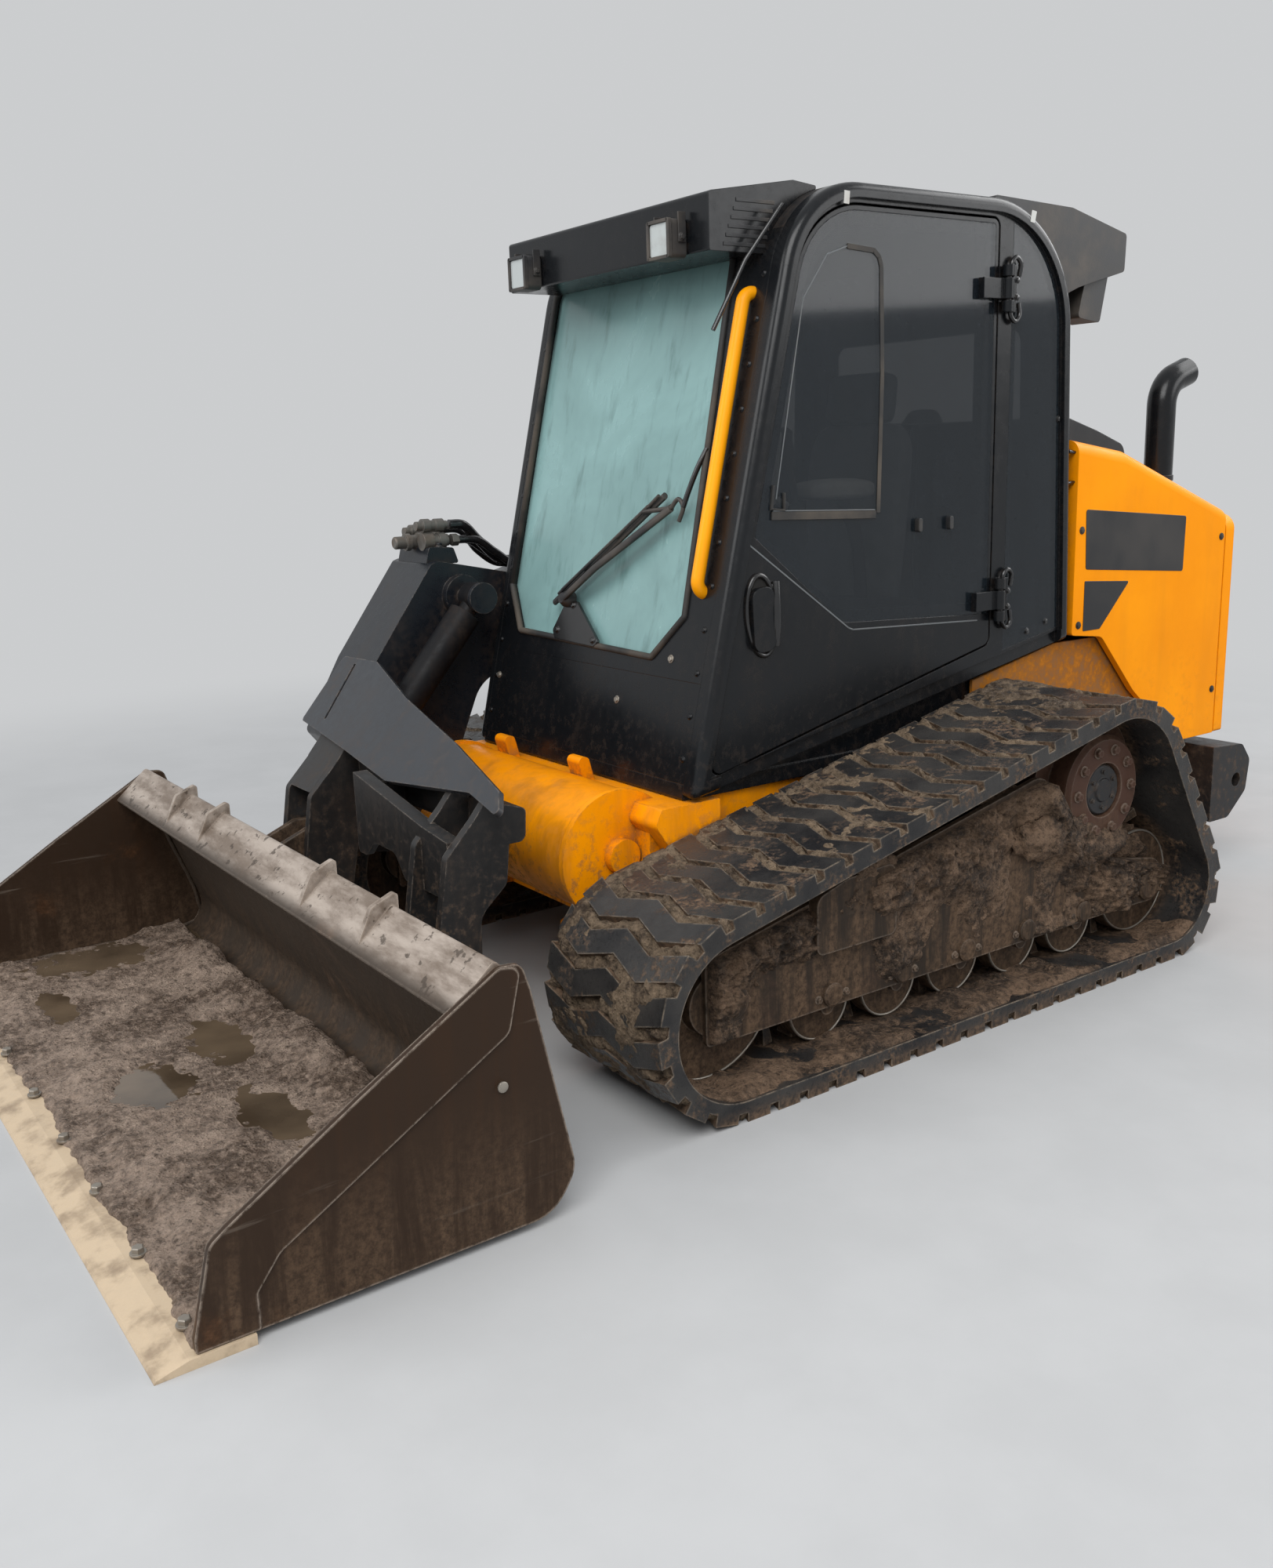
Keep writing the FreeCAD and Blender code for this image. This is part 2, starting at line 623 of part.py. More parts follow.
def cab_side_rows():
    return [(CAB_FRONT_Y, SILL_FRONT_Z, SILL_CORNER), (PILLAR_TOP_Y, CAB_TOP_Z, FRONT_ARCH),
            (CAB_REAR_TOP_Y, CAB_TOP_Z, REAR_ARCH), (CAB_REAR_LOW_Y - 3, SILL_REAR_Z, SILL_CORNER),
            (SILL_MID_Y, SILL_MID_Z, 60)]


def cab_core_rows():
    return [(CAB_FRONT_Y, TUB_HIGH_Z, 8), (PILLAR_TOP_Y, CAB_TOP_Z, FRONT_ARCH),
            (CAB_REAR_TOP_Y, CAB_TOP_Z, REAR_ARCH), (CAB_REAR_LOW_Y, TUB_HIGH_Z, 8)]


def cab_front_y(z):
    """Front face of the cab at the given height."""
    share = (z - TUB_HIGH_Z) / (CAB_TOP_Z - TUB_HIGH_Z)
    return CAB_FRONT_Y + share * (PILLAR_TOP_Y - CAB_FRONT_Y)


def door_rows():
    top = CAB_TOP_Z - DOOR_TOP_DROP
    return [(-735, 655, 25), (PILLAR_TOP_Y + 36, top, 212), (DOOR_REAR_Y, top, 20),
            (DOOR_REAR_Y, 888, 25)]


def door_pane_plate(inset, rise, x0, x1):
    """Part of the door's outline that lies above the crease, moved in by inset."""
    above = [(-760, CREASE_FRONT_Z + rise, 0), (CREASE_Y, CREASE_Z + rise, 60),
             (DOOR_REAR_Y + 50, CREASE_Z - 30 + rise, 0), (DOOR_REAR_Y + 50, CAB_TOP_Z, 0),
             (-760, CAB_TOP_Z, 0)]
    return inset_plate(door_rows(), inset, x0, x1).common(side_plate(above, x0, x1))


def quarter_plate(inset, x0, x1):
    """Rear quarter light, which follows the arch of the cab's side, moved in by inset."""
    room = inset_plate(cab_side_rows(), QUARTER_MARGIN + inset, x0, x1)
    return room.common(block(x0, x1, QUARTER_FRONT_Y + inset, CAB_REAR_LOW_Y, 0, CAB_TOP_Z))


def right_window_rows():
    top = CAB_TOP_Z - RIGHT_WINDOW_TOP_DROP
    return [(-590, 1150, 40), (500, 1150, 40), (520, top, 240), (PILLAR_TOP_Y + 53, top, 190)]


def windscreen_rows():
    low = PANEL_SPLIT_Z
    top = ROOF_SPLIT_Z - SCREEN_TOP_DROP
    return [(28 - CAB_CORE, low + 185, 12), (115 - CAB_CORE, low + 60, 12),
            (CAB_CORE - 220, low + 45, 12), (CAB_CORE - 108, low + 155, 12),
            (CAB_CORE - 150, top, 25), (28 - CAB_CORE, top, 25)]


def rear_window_rows():
    half = CAB_CORE - 100
    low = CAB_TOP_Z - 590
    top = CAB_TOP_Z - 310
    return [(-half, low, 30), (-half, top, 40), (half, top, 40), (half, low, 30)]


def cab_band(outer_inset, inner_inset):
    outer = inset_plate(cab_core_rows(), outer_inset, -CAB_CORE, CAB_CORE) if outer_inset else \
        side_plate(cab_core_rows(), -CAB_CORE, CAB_CORE)
    return outer.cut(inset_plate(cab_core_rows(), inner_inset, -CAB_CORE, CAB_CORE))


def front_window_tool():
    return front_plate(windscreen_rows(), -950, -300)


def rear_window_tool():
    return front_plate(rear_window_rows(), 450, 750)


def edges_at(shape, x):
    """Edges that lie wholly in the plane at x."""
    return [edge for edge in shape.Edges
            if abs(edge.BoundBox.XMin - x) < 0.01 and abs(edge.BoundBox.XMax - x) < 0.01]


def cab_rim(proud):
    """Rounded tube up the front pillar, over the roof and down to the rear sill."""
    outer_x = CAB_HALF + proud
    rim = side_plate(cab_side_rows(), CAB_CORE, outer_x)
    rim = rim.cut(inset_plate(cab_side_rows(), RIM_WIDTH, CAB_CORE - 1, outer_x + 1))
    low_front = CAB_FRONT_Y + 2.2 * RIM_WIDTH
    low_rear = CAB_REAR_LOW_Y - 1.2 * RIM_WIDTH
    sill = [(low_front, SILL_FRONT_Z - 60, 0), (low_front, SILL_FRONT_Z + 80, 0),
            (SILL_MID_Y, SILL_MID_Z + 60, 0), (low_rear, SILL_REAR_Z + 60, 0),
            (low_rear, SILL_FRONT_Z - 60, 0)]
    rim = rim.cut(side_plate(sill, CAB_CORE - 2, outer_x + 2))
    return rounded_rim(rim, outer_x)


def rounded_rim(rim, outer_x):
    """Rim with its outer face rounded over towards the outside of the loop."""
    outline = side_face(cab_side_rows(), outer_x).OuterWire
    outer = []
    for edge in edges_at(rim, outer_x):
        middle = edge.valueAt((edge.FirstParameter + edge.LastParameter) / 2)
        spots = [edge.Vertexes[0].Point, middle, edge.Vertexes[-1].Point]
        if max(outline.distToShape(Part.Vertex(spot))[0] for spot in spots) < 0.05:
            outer.append(edge)
    return rim.makeFillet(RIM_ROUND, outer)


def side_with_rim(proud):
    plate = side_plate(cab_side_rows(), CAB_CORE, CAB_HALF - RIM_ROUND + proud)
    plate = plate.fuse(inset_plate(cab_side_rows(), RIM_WIDTH - 1, CAB_CORE, CAB_HALF))
    return plate.fuse(cab_rim(proud))


def cab_side_left():
    doorway = inset_plate(door_rows(), -DOOR_GAP, CAB_CORE - 1, CAB_HALF + RIM_PROUD + 1)
    plate = side_with_rim(RIM_PROUD).cut(doorway)
    plate = plate.cut(quarter_plate(QUARTER_LAP, CAB_CORE - 1, CAB_HALF + 1))
    plate = plate.cut(quarter_plate(-SEAT_GAP, PANE_BACK_X - SEAT_GAP, CAB_HALF + 1))
    return fused([plate] + [hinge_leaf(z) for z in hinge_heights()])


def hinge_heights():
    return (1010.0, CAB_TOP_Z - 230.0)


def hinge_leaf(z):
    """Fixed half of a door hinge, with the two outer knuckles on a pin."""
    leaf = block(CAB_HALF - 1, DOOR_HINGE_X, DOOR_HINGE_Y + 6, DOOR_HINGE_Y + 34, z - 60, z + 60)
    ends = ((-60, -31), (31, 60))
    knuckles = [rod_z(DOOR_HINGE_X, DOOR_HINGE_Y, BARREL_RADIUS, z + low, z + high)
                for low, high in ends]
    bridge = [block(DOOR_HINGE_X - 12, DOOR_HINGE_X, DOOR_HINGE_Y, DOOR_HINGE_Y + 20, z + low, z + high)
              for low, high in ends]
    pin = rod_z(DOOR_HINGE_X, DOOR_HINGE_Y, HINGE_RADIUS, z - 60, z + 60)
    middle = block(DOOR_HINGE_X - 30, DOOR_HINGE_X + 30, DOOR_HINGE_Y - 30, DOOR_HINGE_Y + 22,
                   z - 31, z + 31)
    leaf = leaf.cut(middle)
    return fused([leaf, pin] + knuckles + bridge)


def cab_side_right():
    plate = mirrored(side_with_rim(0.0))
    return plate.cut(side_plate(right_window_rows(), -CAB_HALF - 1, -CAB_CORE + 1))


def cab_front_panel():
    band = cab_band(0, CAB_WALL)
    return band.common(block(-CAB_CORE, CAB_CORE, -900, -600, TUB_HIGH_Z + FLOOR_PLATE, PANEL_SPLIT_Z))


def windscreen_frame():
    band = cab_band(0, CAB_WALL)
    band = band.common(block(-CAB_CORE, CAB_CORE, -900, -300, PANEL_SPLIT_Z, ROOF_SPLIT_Z))
    return band.cut(front_window_tool())


def windscreen():
    return cab_band(GLASS_INSET, GLASS_INSET + GLASS).common(front_window_tool())


def cab_roof():
    band = cab_band(0, CAB_WALL)
    return band.common(block(-CAB_CORE, CAB_CORE, -900, 900, ROOF_SPLIT_Z, CAB_TOP_Z + 10))


def cab_rear_wall():
    band = cab_band(0, CAB_WALL)
    band = band.common(block(-CAB_CORE, CAB_CORE, 300, 900, TUB_HIGH_Z + FLOOR_PLATE, ROOF_SPLIT_Z))
    return band.cut(rear_window_tool())


def rear_window():
    return cab_band(GLASS_INSET, GLASS_INSET + GLASS).common(rear_window_tool())


def cab_floor():
    outline = side_plate(cab_core_rows(), -CAB_CORE, CAB_CORE)
    plate = outline.common(block(-CAB_CORE, CAB_CORE, -900, 900, TUB_HIGH_Z, TUB_HIGH_Z + FLOOR_PLATE))
    sills = []
    front_y = CAB_FRONT_Y + CAB_WALL + 40
    for side in (-1, 1):
        rows = [(front_y, TUB_HIGH_Z + 10, 2), (front_y, TUB_HIGH_Z + FLOOR_PLATE + 40, 5),
                (SILL_MID_Y, SILL_MID_Z + 40, 20), (CAB_REAR_LOW_Y - CAB_WALL - 20, SILL_REAR_Z + 40, 5),
                (CAB_REAR_LOW_Y - CAB_WALL - 20, TUB_HIGH_Z + 10, 2)]
        outer = CAB_CORE - SILL_GAP
        sills.append(side_plate(rows, side * (outer - SILL_WIDTH), side * outer))
    return fused([plate] + sills)


def roof_visor():
    low = CAB_TOP_Z - VISOR_DROP
    rows = [(VISOR_FRONT_Y, low, 6), (VISOR_FRONT_Y, low + 132, 10),
            (PILLAR_TOP_Y + 58, CAB_TOP_Z + 6, 20), (PILLAR_TOP_Y + 138, CAB_TOP_Z - 2, 5),
            (PILLAR_TOP_Y - 2, low, 5)]
    visor = side_plate(rows, -VISOR_HALF, VISOR_HALF)
    return visor.cut(side_plate(cab_core_rows(), -VISOR_HALF - 5, VISOR_HALF + 5))


def front_lamps():
    lamps = []
    low = CAB_TOP_Z - VISOR_DROP - 8
    for side in (-1, 1):
        x0 = side * (VISOR_HALF - LAMP_INSET) - LAMP_SIZE / 2
        x1 = x0 + LAMP_SIZE
        rows = [(x0, low, 12), (x0, low + LAMP_SIZE, 12), (x1, low + LAMP_SIZE, 12), (x1, low, 12)]
        lamps.append(front_plate(rows, VISOR_FRONT_Y - LAMP_DEPTH, VISOR_FRONT_Y))
    return apart(lamps)


def roof_rear_box():
    top = CAB_TOP_Z
    rear = CAB_REAR_TOP_Y
    rows = [(rear - 269, top + 18, 10), (rear + 71, top + 6, 30), (rear + 321, top - 50, 12),
            (rear + 317, top - 154, 12), (rear + 111, top - 205, 30), (rear - 9, top - 250, 5)]
    housing = side_plate(rows, 70 - CAB_HALF, CAB_HALF - 50)
    return housing.cut(side_plate(cab_core_rows(), -CAB_HALF, CAB_HALF))


def rear_lamp():
    top = CAB_TOP_Z
    rear = CAB_REAR_TOP_Y
    rows = [(rear + 131, top - 285, 12), (rear + 159, top - 180, 0), (rear + 267, top - 140, 0),
            (rear + 231, top - 298, 12)]
    lamp = side_plate(rows, CAB_HALF - 155, CAB_HALF - 65)
    return lamp.cut(roof_rear_box())


def driver_seat():
    low = TUB_HIGH_Z + FLOOR_PLATE
    half = CAB_CORE * SEAT_SHARE
    pedestal = block(70 - half, half - 70, -60, 300, low, low + 190)
    cushion = side_plate([(-140, low + 189, 20), (-150, low + 290, 40), (330, low + 270, 20),
                          (330, low + 189, 20)], -half, half)
    back = side_plate([(250, low + 230, 20), (320, low + 900, 40), (400, low + 900, 40),
                       (350, low + 230, 20)], 20 - half, half - 20)
    return fused([pedestal, cushion, back])


def control_consoles():
    low = TUB_HIGH_Z + FLOOR_PLATE
    consoles = []
    half = CAB_CORE * CONSOLE_SHARE
    for side in (-1, 1):
        x = side * CAB_CORE * CONSOLE_PLACE
        body = side_plate([(-330, low, 5), (-360, low + 420, 40), (120, low + 380, 40), (120, low, 5)],
                          x - half, x + half)
        stick = rod_between(Vector(x, -250, low + 400), Vector(x, -290, low + 590), 14)
        grip = rod_between(Vector(x, -284, low + 560), Vector(x, -300, low + 660), 24)
        consoles.append(fused([body, stick, grip]))
    return apart(consoles)


def grab_handle():
    """Yellow rail on the left front pillar."""
    x = CAB_CORE - 55
    top = HANDLE_TOP_Z
    points = [Vector(x, cab_front_y(top) + 30, top - 25), Vector(x, cab_front_y(top) - HANDLE_PROUD, top),
              Vector(x + 5, cab_front_y(HANDLE_LOW_Z) - HANDLE_PROUD, HANDLE_LOW_Z),
              Vector(x, cab_front_y(HANDLE_LOW_Z) + 30, HANDLE_LOW_Z - 15)]
    rail = bent_tube(points, HANDLE_RADIUS, HANDLE_BEND)
    return rail.cut(side_plate(cab_core_rows(), -CAB_CORE, CAB_CORE))


# Engine body

def hood_rows():
    return [(BODY_FRONT_Y, 1440, 0), (872, 1403, 60), (BODY_REAR_Y, BODY_REAR_TOP_Z, 0),
            (BODY_REAR_Y, BODY_LOW_Z, 4), (1197, BODY_LOW_Z, 30), (952, 669, 60), (782, 855, 40),
            (BODY_FRONT_Y, 872, 10)]


def hood_outer():
    """Outside of the engine body, rounded along both sides of its top."""
    outer = side_plate(hood_rows(), BODY_RIGHT_X, BODY_LEFT_X)
    top = [edge for x in (BODY_RIGHT_X, BODY_LEFT_X) for edge in edges_at(outer, x)
           if edge.BoundBox.ZMin > BODY_REAR_TOP_Z - 1 and edge.BoundBox.YLength > 1]
    return outer.makeFillet(HOOD_ROUND, top)


def engine_hood():
    outer = hood_outer()
    room = side_plate([(BODY_FRONT_Y + BODY_WALL, 1440 - BODY_WALL - 4, 10), (866, 1403 - BODY_WALL, 60),
                       (BODY_REAR_Y + 5, BODY_REAR_TOP_Z - BODY_WALL - 6, 1),
                       (BODY_REAR_Y + 5, 400, 1), (BODY_FRONT_Y + BODY_WALL, 400, 1)],
                      BODY_RIGHT_X + BODY_WALL, BODY_LEFT_X - BODY_WALL)
    hood = outer.cut(room)
    tower_room = block(BODY_RIGHT_X - 5, BODY_RIGHT_X + BODY_WALL + 5, 830, BODY_REAR_Y + 5,
                       400, TUB_HIGH_Z)
    rails = [block(TUB_HALF - 40, BODY_LEFT_X - BODY_WALL + 1, 900, 1250, TUB_HIGH_Z, TUB_HIGH_Z + 25),
             block(-TUB_HALF + 40, BODY_RIGHT_X + BODY_WALL - 1, 900, 1250, TUB_HIGH_Z, TUB_HIGH_Z + 25)]
    return fused([hood.cut(tower_room)] + rails + rear_hinges())


def engine_block():
    return block(-290, 290, 760, 1230, TUB_HIGH_Z, 1080)


def radiator():
    half = TUB_HALF - 80
    return block(-half, half, 1275, 1330, TUB_HIGH_Z, 1120)


def hood_cover():
    rows = [(690, 1434, 5), (700, 1474, 25), (1060, 1400, 30), (1120, 1318, 5), (1100, 1300, 5),
            (872, 1380, 5)]
    cover = side_plate(rows, -250, 300)
    return cover.cut(side_plate(hood_rows(), -260, 310))


def exhaust_stack():
    x = BODY_LEFT_X - 185
    points = [Vector(x, 1290, 1200), Vector(x, 1290, 1600), Vector(x, 1440, 1640)]
    pipe = bent_tube(points, 38, 90)
    return pipe.cut(side_plate(hood_rows(), x - 60, x + 60))


def rear_hinges():
    """Fixed halves of the rear door's hinges, with their pins."""
    shapes = []
    for z in REAR_HINGE_HEIGHTS:
        shapes.append(rod_z(REAR_HINGE_X, REAR_HINGE_Y, HINGE_RADIUS, z - 62, z + 62))
        for low, high in ((-62, -36), (36, 62)):
            shapes.append(rod_z(REAR_HINGE_X, REAR_HINGE_Y, BARREL_RADIUS, z + low, z + high))
            shapes.append(block(REAR_HINGE_X - 10, BODY_RIGHT_X + 1, BODY_REAR_Y - 60, BODY_REAR_Y,
                                z + low, z + high))
            shapes.append(block(REAR_HINGE_X - 10, REAR_HINGE_X + 8, BODY_REAR_Y - 5, REAR_HINGE_Y,
                                z + low, z + high))
    return shapes


def rear_door():
    outline = [(BODY_RIGHT_X, BODY_LOW_Z, 10), (BODY_RIGHT_X, BODY_REAR_TOP_Z - 20, 50),
               (BODY_LEFT_X, BODY_REAR_TOP_Z - 20, 50), (BODY_LEFT_X, BODY_LOW_Z, 10)]
    y0 = BODY_REAR_Y + REAR_DOOR_GAP
    door = front_plate(outline, y0, y0 + REAR_DOOR_THICK)
    slot_low = 620.0
    slot_rise = 62.0
    for index in range(8):
        z = slot_low + index * slot_rise
        slot = front_plate([(-380, z, 12), (-380, z + 34, 12), (400, z + 34, 12), (400, z, 12)],
                           y0 - 1, y0 + REAR_DOOR_THICK + 1)
        door = door.cut(slot)
    knuckles = []
    for z in REAR_HINGE_HEIGHTS:
        knuckles.append(rod_z(REAR_HINGE_X, REAR_HINGE_Y, BARREL_RADIUS, z - 30, z + 30))
        knuckles.append(block(REAR_HINGE_X, BODY_RIGHT_X + 5, REAR_HINGE_Y, y0 + REAR_DOOR_THICK,
                              z - 30, z + 30))
    door = fused([door] + knuckles)
    for z in REAR_HINGE_HEIGHTS:
        door = door.cut(rod_z(REAR_HINGE_X, REAR_HINGE_Y, HINGE_RADIUS + FIT, z - 40, z + 40))
    return door


# Boom

def arm_rows():
    return [(PIVOT_Y + ARM_END, PIVOT_Z + ARM_END, ARM_END), (300, 1335, 300), (-560, 1085, 120),
            (-880, 1152, 40), (-905, 1143, 15), (-1110, 867, 60), (-1235, 655, 20), (-1180, 585, 40),
            (-850, 570, 60), (-755, 790, 120), (-450, 830, 200),
            (PIVOT_Y + ARM_END, PIVOT_Z - ARM_END, ARM_END)]


def boom_arm():
    arm = side_plate(arm_rows(), ARM_INNER_X, ARM_OUTER_X)
    lugs = []
    lug_rows = [(LIFT_EYE_Y - 130, LIFT_EYE_Z + 150, 5), (LIFT_EYE_Y - 60, LIFT_EYE_Z - 60, 55),
                (LIFT_EYE_Y + 60, LIFT_EYE_Z - 60, 55), (LIFT_EYE_Y + 160, LIFT_EYE_Z + 230, 5)]
    for side in (-1, 1):
        x = ARM_MID_X + side * (LIFT_EYE_WIDTH / 2 + 12)
        lugs.append(side_plate(lug_rows, x, x + side * LUG_PLATE))
    boss = rod_x(TILT_BASE_Y, TILT_BASE_Z, 62, ARM_INNER_X + 25, ARM_INNER_X - 1)
    eye_end = TILT_X + TILT_EYE_WIDTH / 2
    pin = rod_x(TILT_BASE_Y, TILT_BASE_Z, BUCKET_PIN, ARM_INNER_X - 1, eye_end + 8)
    cap = rod_x(TILT_BASE_Y, TILT_BASE_Z, 46, eye_end + 3, eye_end + 18)
    arm = fused([arm, boss, pin, cap] + lugs)
    return arm.cut(rod_x(PIVOT_Y, PIVOT_Z, PIVOT_PIN + FIT, ARM_INNER_X + 50, ARM_OUTER_X - 50))


def leg_rows(rear_y):
    """Outline of one leg's cheek plate, from the cross box down to the bucket pin."""
    return [(rear_y, 640, 10), (guard_y(690), 690, 0), (guard_y(632), 632, 10), (-1410, 555, 30),
            (BUCKET_PIN_Y - 62, BUCKET_PIN_Z + 60, 40),
            (BUCKET_PIN_Y - 62, BUCKET_PIN_Z - 62, 60), (BUCKET_PIN_Y + 62, BUCKET_PIN_Z - 62, 60),
            ((rear_y - 1425) / 2, 400, 60), (rear_y - 20, 465, 30)]


def leg_centres():
    return (TILT_X, LEFT_LEG_X)


def headstock():
    """Cross box, two legs and the pins that carry the bucket."""
    pieces = []
    for centre, rear_y in zip(leg_centres(), (TILT_LEG_REAR_Y, LEFT_LEG_REAR_Y)):
        for side in (-1, 1):
            x = centre + side * CHEEK_OFFSET
            pieces.append(side_plate(leg_rows(rear_y), x, x + side * CHEEK_PLATE))
        reach = CHEEK_OFFSET + CHEEK_PLATE
        pieces.append(rod_x(BUCKET_PIN_Y, BUCKET_PIN_Z, BUCKET_PIN, centre - reach - 8, centre + reach + 8))
    left_end = LEFT_LEG_X + CHEEK_OFFSET + CHEEK_PLATE
    box_rows = [(-1200, 560, 20), (-1195, 640, 15), (-1262, 660, 10), (-1262, 560, 20)]
    pieces.append(side_plate(box_rows, TILT_X + CHEEK_OFFSET, left_end))
    bridge = [(guard_y(690), 690, 0), (guard_y(632), 632, 0), (-1404, 562, 0), (-1388, 552, 0),
              (guard_y(632) + 14, 622, 0), (guard_y(690) + 16, 686, 0)]
    pieces.append(side_plate(bridge, TILT_X - CHEEK_OFFSET, TILT_X + CHEEK_OFFSET))
    stub = [(-1140, 700, 20), (guard_y(690), 690, 0), (guard_y(632), 632, 0), (-1190, 600, 20),
            (-1120, 620, 20)]
    pieces.append(side_plate(stub, ARM_INNER_X, TILT_X - CHEEK_OFFSET - CHEEK_PLATE + 1))
    left_front = [(-110, 455, 15), (-110, 668, 10), (LEFT_LEG_X - CHEEK_OFFSET, 600, 6),
                  (LEFT_LEG_X + CHEEK_OFFSET, 585, 6), (LEFT_LEG_X + CHEEK_OFFSET, 440, 8),
                  (160, 440, 20), (110, 500, 40), (-10, 500, 40), (-60, 455, 20)]
    pieces.append(front_plate(left_front, -1395, -1377))
    lip = [(-110, 656, 0), (-110, 668, 0), (LEFT_LEG_X - CHEEK_OFFSET, 600, 0),
           (LEFT_LEG_X + CHEEK_OFFSET, 585, 0), (LEFT_LEG_X + CHEEK_OFFSET, 573, 0),
           (LEFT_LEG_X - CHEEK_OFFSET, 588, 0)]
    pieces.append(front_plate(lip, -1395, -1356))
    pieces.append(side_plate([(-1395, 460, 20), (-1395, 634, 5), (-1200, 630, 10), (-1200, 560, 40),
                              (-1300, 440, 50)], -110, -90))
    return fused(pieces)


def guard_y(z):
    """Back face of the sloping guard at the given height."""
    return GUARD_TOP_Y - (GUARD_TOP_Z - z) * GUARD_SLOPE


def guard_point(x, z):
    return Vector(x, guard_y(z), z)


def front_guard():
    """Sloping plate that covers the cross box, from the arm to the far end of the headstock."""
    rows = [(-700, 700, 12), (-690, 875, 15), (-470, 880, 15), (-191, 818, 60), (176, 757, 60),
            (475, 697, 8), (537, 650, 8), (363, 675, 20), (-35, 639, 30), (-330, 668, 60)]
    slot_rows = [(-598, 861, 5), (-585, 864, 5), (-556, 721, 5), (-569, 718, 5)]
    lift = Vector(0, -1, GUARD_SLOPE).normalize()
    slot = rounded_face(slot_rows, guard_point)
    slot.translate(lift * -GUARD_PLATE)
    plate = rounded_face(rows, guard_point).extrude(lift * GUARD_PLATE)
    return plate.cut(slot.extrude(lift * 3 * GUARD_PLATE))


def aux_couplers():
    x = ARM_MID_X
    pieces = [block(x - 80, x + 80, -900, -780, 1135, 1185)]
    # Start and end from the arm's middle, y, z, radius
    for start, end, y, z, radius in ((-110, 80, -860, 1206, 24), (-100, 70, -810, 1206, 24),
                                     (-30, 100, -835, 1240, 20)):
        pieces.append(rod_x(y, z, radius, x + start, x + end))
    return fused(pieces).cut(boom_arm())


# Cylinders

def ram_barrel(base, eye, x, radius, eye_radius, width, pin, share):
    """Barrel with the eye at its base. Base and eye are y, z."""
    start = Vector(x, base[0], base[1])
    end = Vector(x, eye[0], eye[1])
    way = (end - start).normalize()
    length = (end - start).Length
    near = start + way * (eye_radius + radius * 0.35)
    far = start + way * (length * share)
    tube = rod_between(near, far, radius)
    neck = rod_between(start + way * (eye_radius * 0.7), near + way * 5, width * 0.45)
    ring = rod_x(base[0], base[1], eye_radius, x - width / 2, x + width / 2)
    body = fused([tube, neck, ring])
    body = body.cut(rod_x(base[0], base[1], pin + FIT, x - width, x + width))
    return body.cut(rod_between(start + way * (eye_radius + 45), far + way * 5, radius - RAM_WALL))


def ram_rod(base, eye, x, radius, eye_radius, width, share, bore, stroke):
    """Rod with its eye; the piston end stays in the barrel over the whole stroke."""
    start = Vector(x, base[0], base[1])
    end = Vector(x, eye[0], eye[1])
    way = (end - start).normalize()
    length = (end - start).Length
    inner = start + way * (length * share - stroke - 20)
    rod = rod_between(inner, end - way * (eye_radius * 0.7), radius)
    piston = rod_between(inner - way * 25, inner + way * 5, bore - FIT)
    ring = rod_x(eye[0], eye[1], eye_radius, x - width / 2, x + width / 2)
    return fused([rod, piston, ring])


def lift_barrel():
    return ram_barrel((LIFT_BASE_Y, LIFT_BASE_Z), (LIFT_EYE_Y, LIFT_EYE_Z), ARM_MID_X, LIFT_BARREL,
                      LIFT_EYE, LIFT_EYE_WIDTH, LIFT_PIN, LIFT_SHARE)


def lift_rod():
    return ram_rod((LIFT_BASE_Y, LIFT_BASE_Z), (LIFT_EYE_Y, LIFT_EYE_Z), ARM_MID_X, LIFT_ROD,
                   LIFT_EYE, LIFT_EYE_WIDTH, LIFT_SHARE, LIFT_BARREL - RAM_WALL, LIFT_STROKE)


def tilt_barrel():
    return ram_barrel((TILT_BASE_Y, TILT_BASE_Z), (TILT_EYE_Y, TILT_EYE_Z), TILT_X, TILT_BARREL,
                      TILT_EYE, TILT_EYE_WIDTH, BUCKET_PIN, TILT_SHARE)


def tilt_rod():
    return ram_rod((TILT_BASE_Y, TILT_BASE_Z), (TILT_EYE_Y, TILT_EYE_Z), TILT_X, TILT_ROD,
                   TILT_EYE, TILT_EYE_WIDTH, TILT_SHARE, TILT_BARREL - RAM_WALL, TILT_STROKE)


# Bucket

def back_y(z):
    """Rear face of the bucket's back at the given height."""
    share = (z - BUCKET_BACK_LOW_Z) / (BUCKET_BACK_TOP_Z - BUCKET_BACK_LOW_Z)
    return BUCKET_BACK_LOW_Y + share * (BUCKET_BACK_TOP_Y - BUCKET_BACK_LOW_Y)


def bucket_shell():
    """Floor, back and closed top beam, without the ends."""
    t = BUCKET_SHELL
    inner = -BUCKET_HALF + BUCKET_SIDE
    outline = [(EDGE_REAR_Y, BUCKET_FLOOR_Z, 0), (-1560, BUCKET_FLOOR_Z, 90),
               (BUCKET_BACK_LOW_Y, BUCKET_BACK_LOW_Z, 70), (BUCKET_BACK_TOP_Y, BUCKET_BACK_TOP_Z, 30),
               (-1655, 560, 10), (-1752, 474, 4), (-1742, 462, 4), (-1640, 430, 30),
               (-1528, 110, 60), (-1566, BUCKET_FLOOR_Z + t, 76), (EDGE_REAR_Y, BUCKET_FLOOR_Z + t, 0)]
    shell = side_plate(outline, inner, -inner)
    hollow = side_plate([(-1600, 478, 8), (-1657, 540, 8), (-1728, 478, 8), (-1648, 452, 8)],
                        inner - 1, -inner + 1)
    return fused([shell.cut(hollow)] + bucket_ribs())


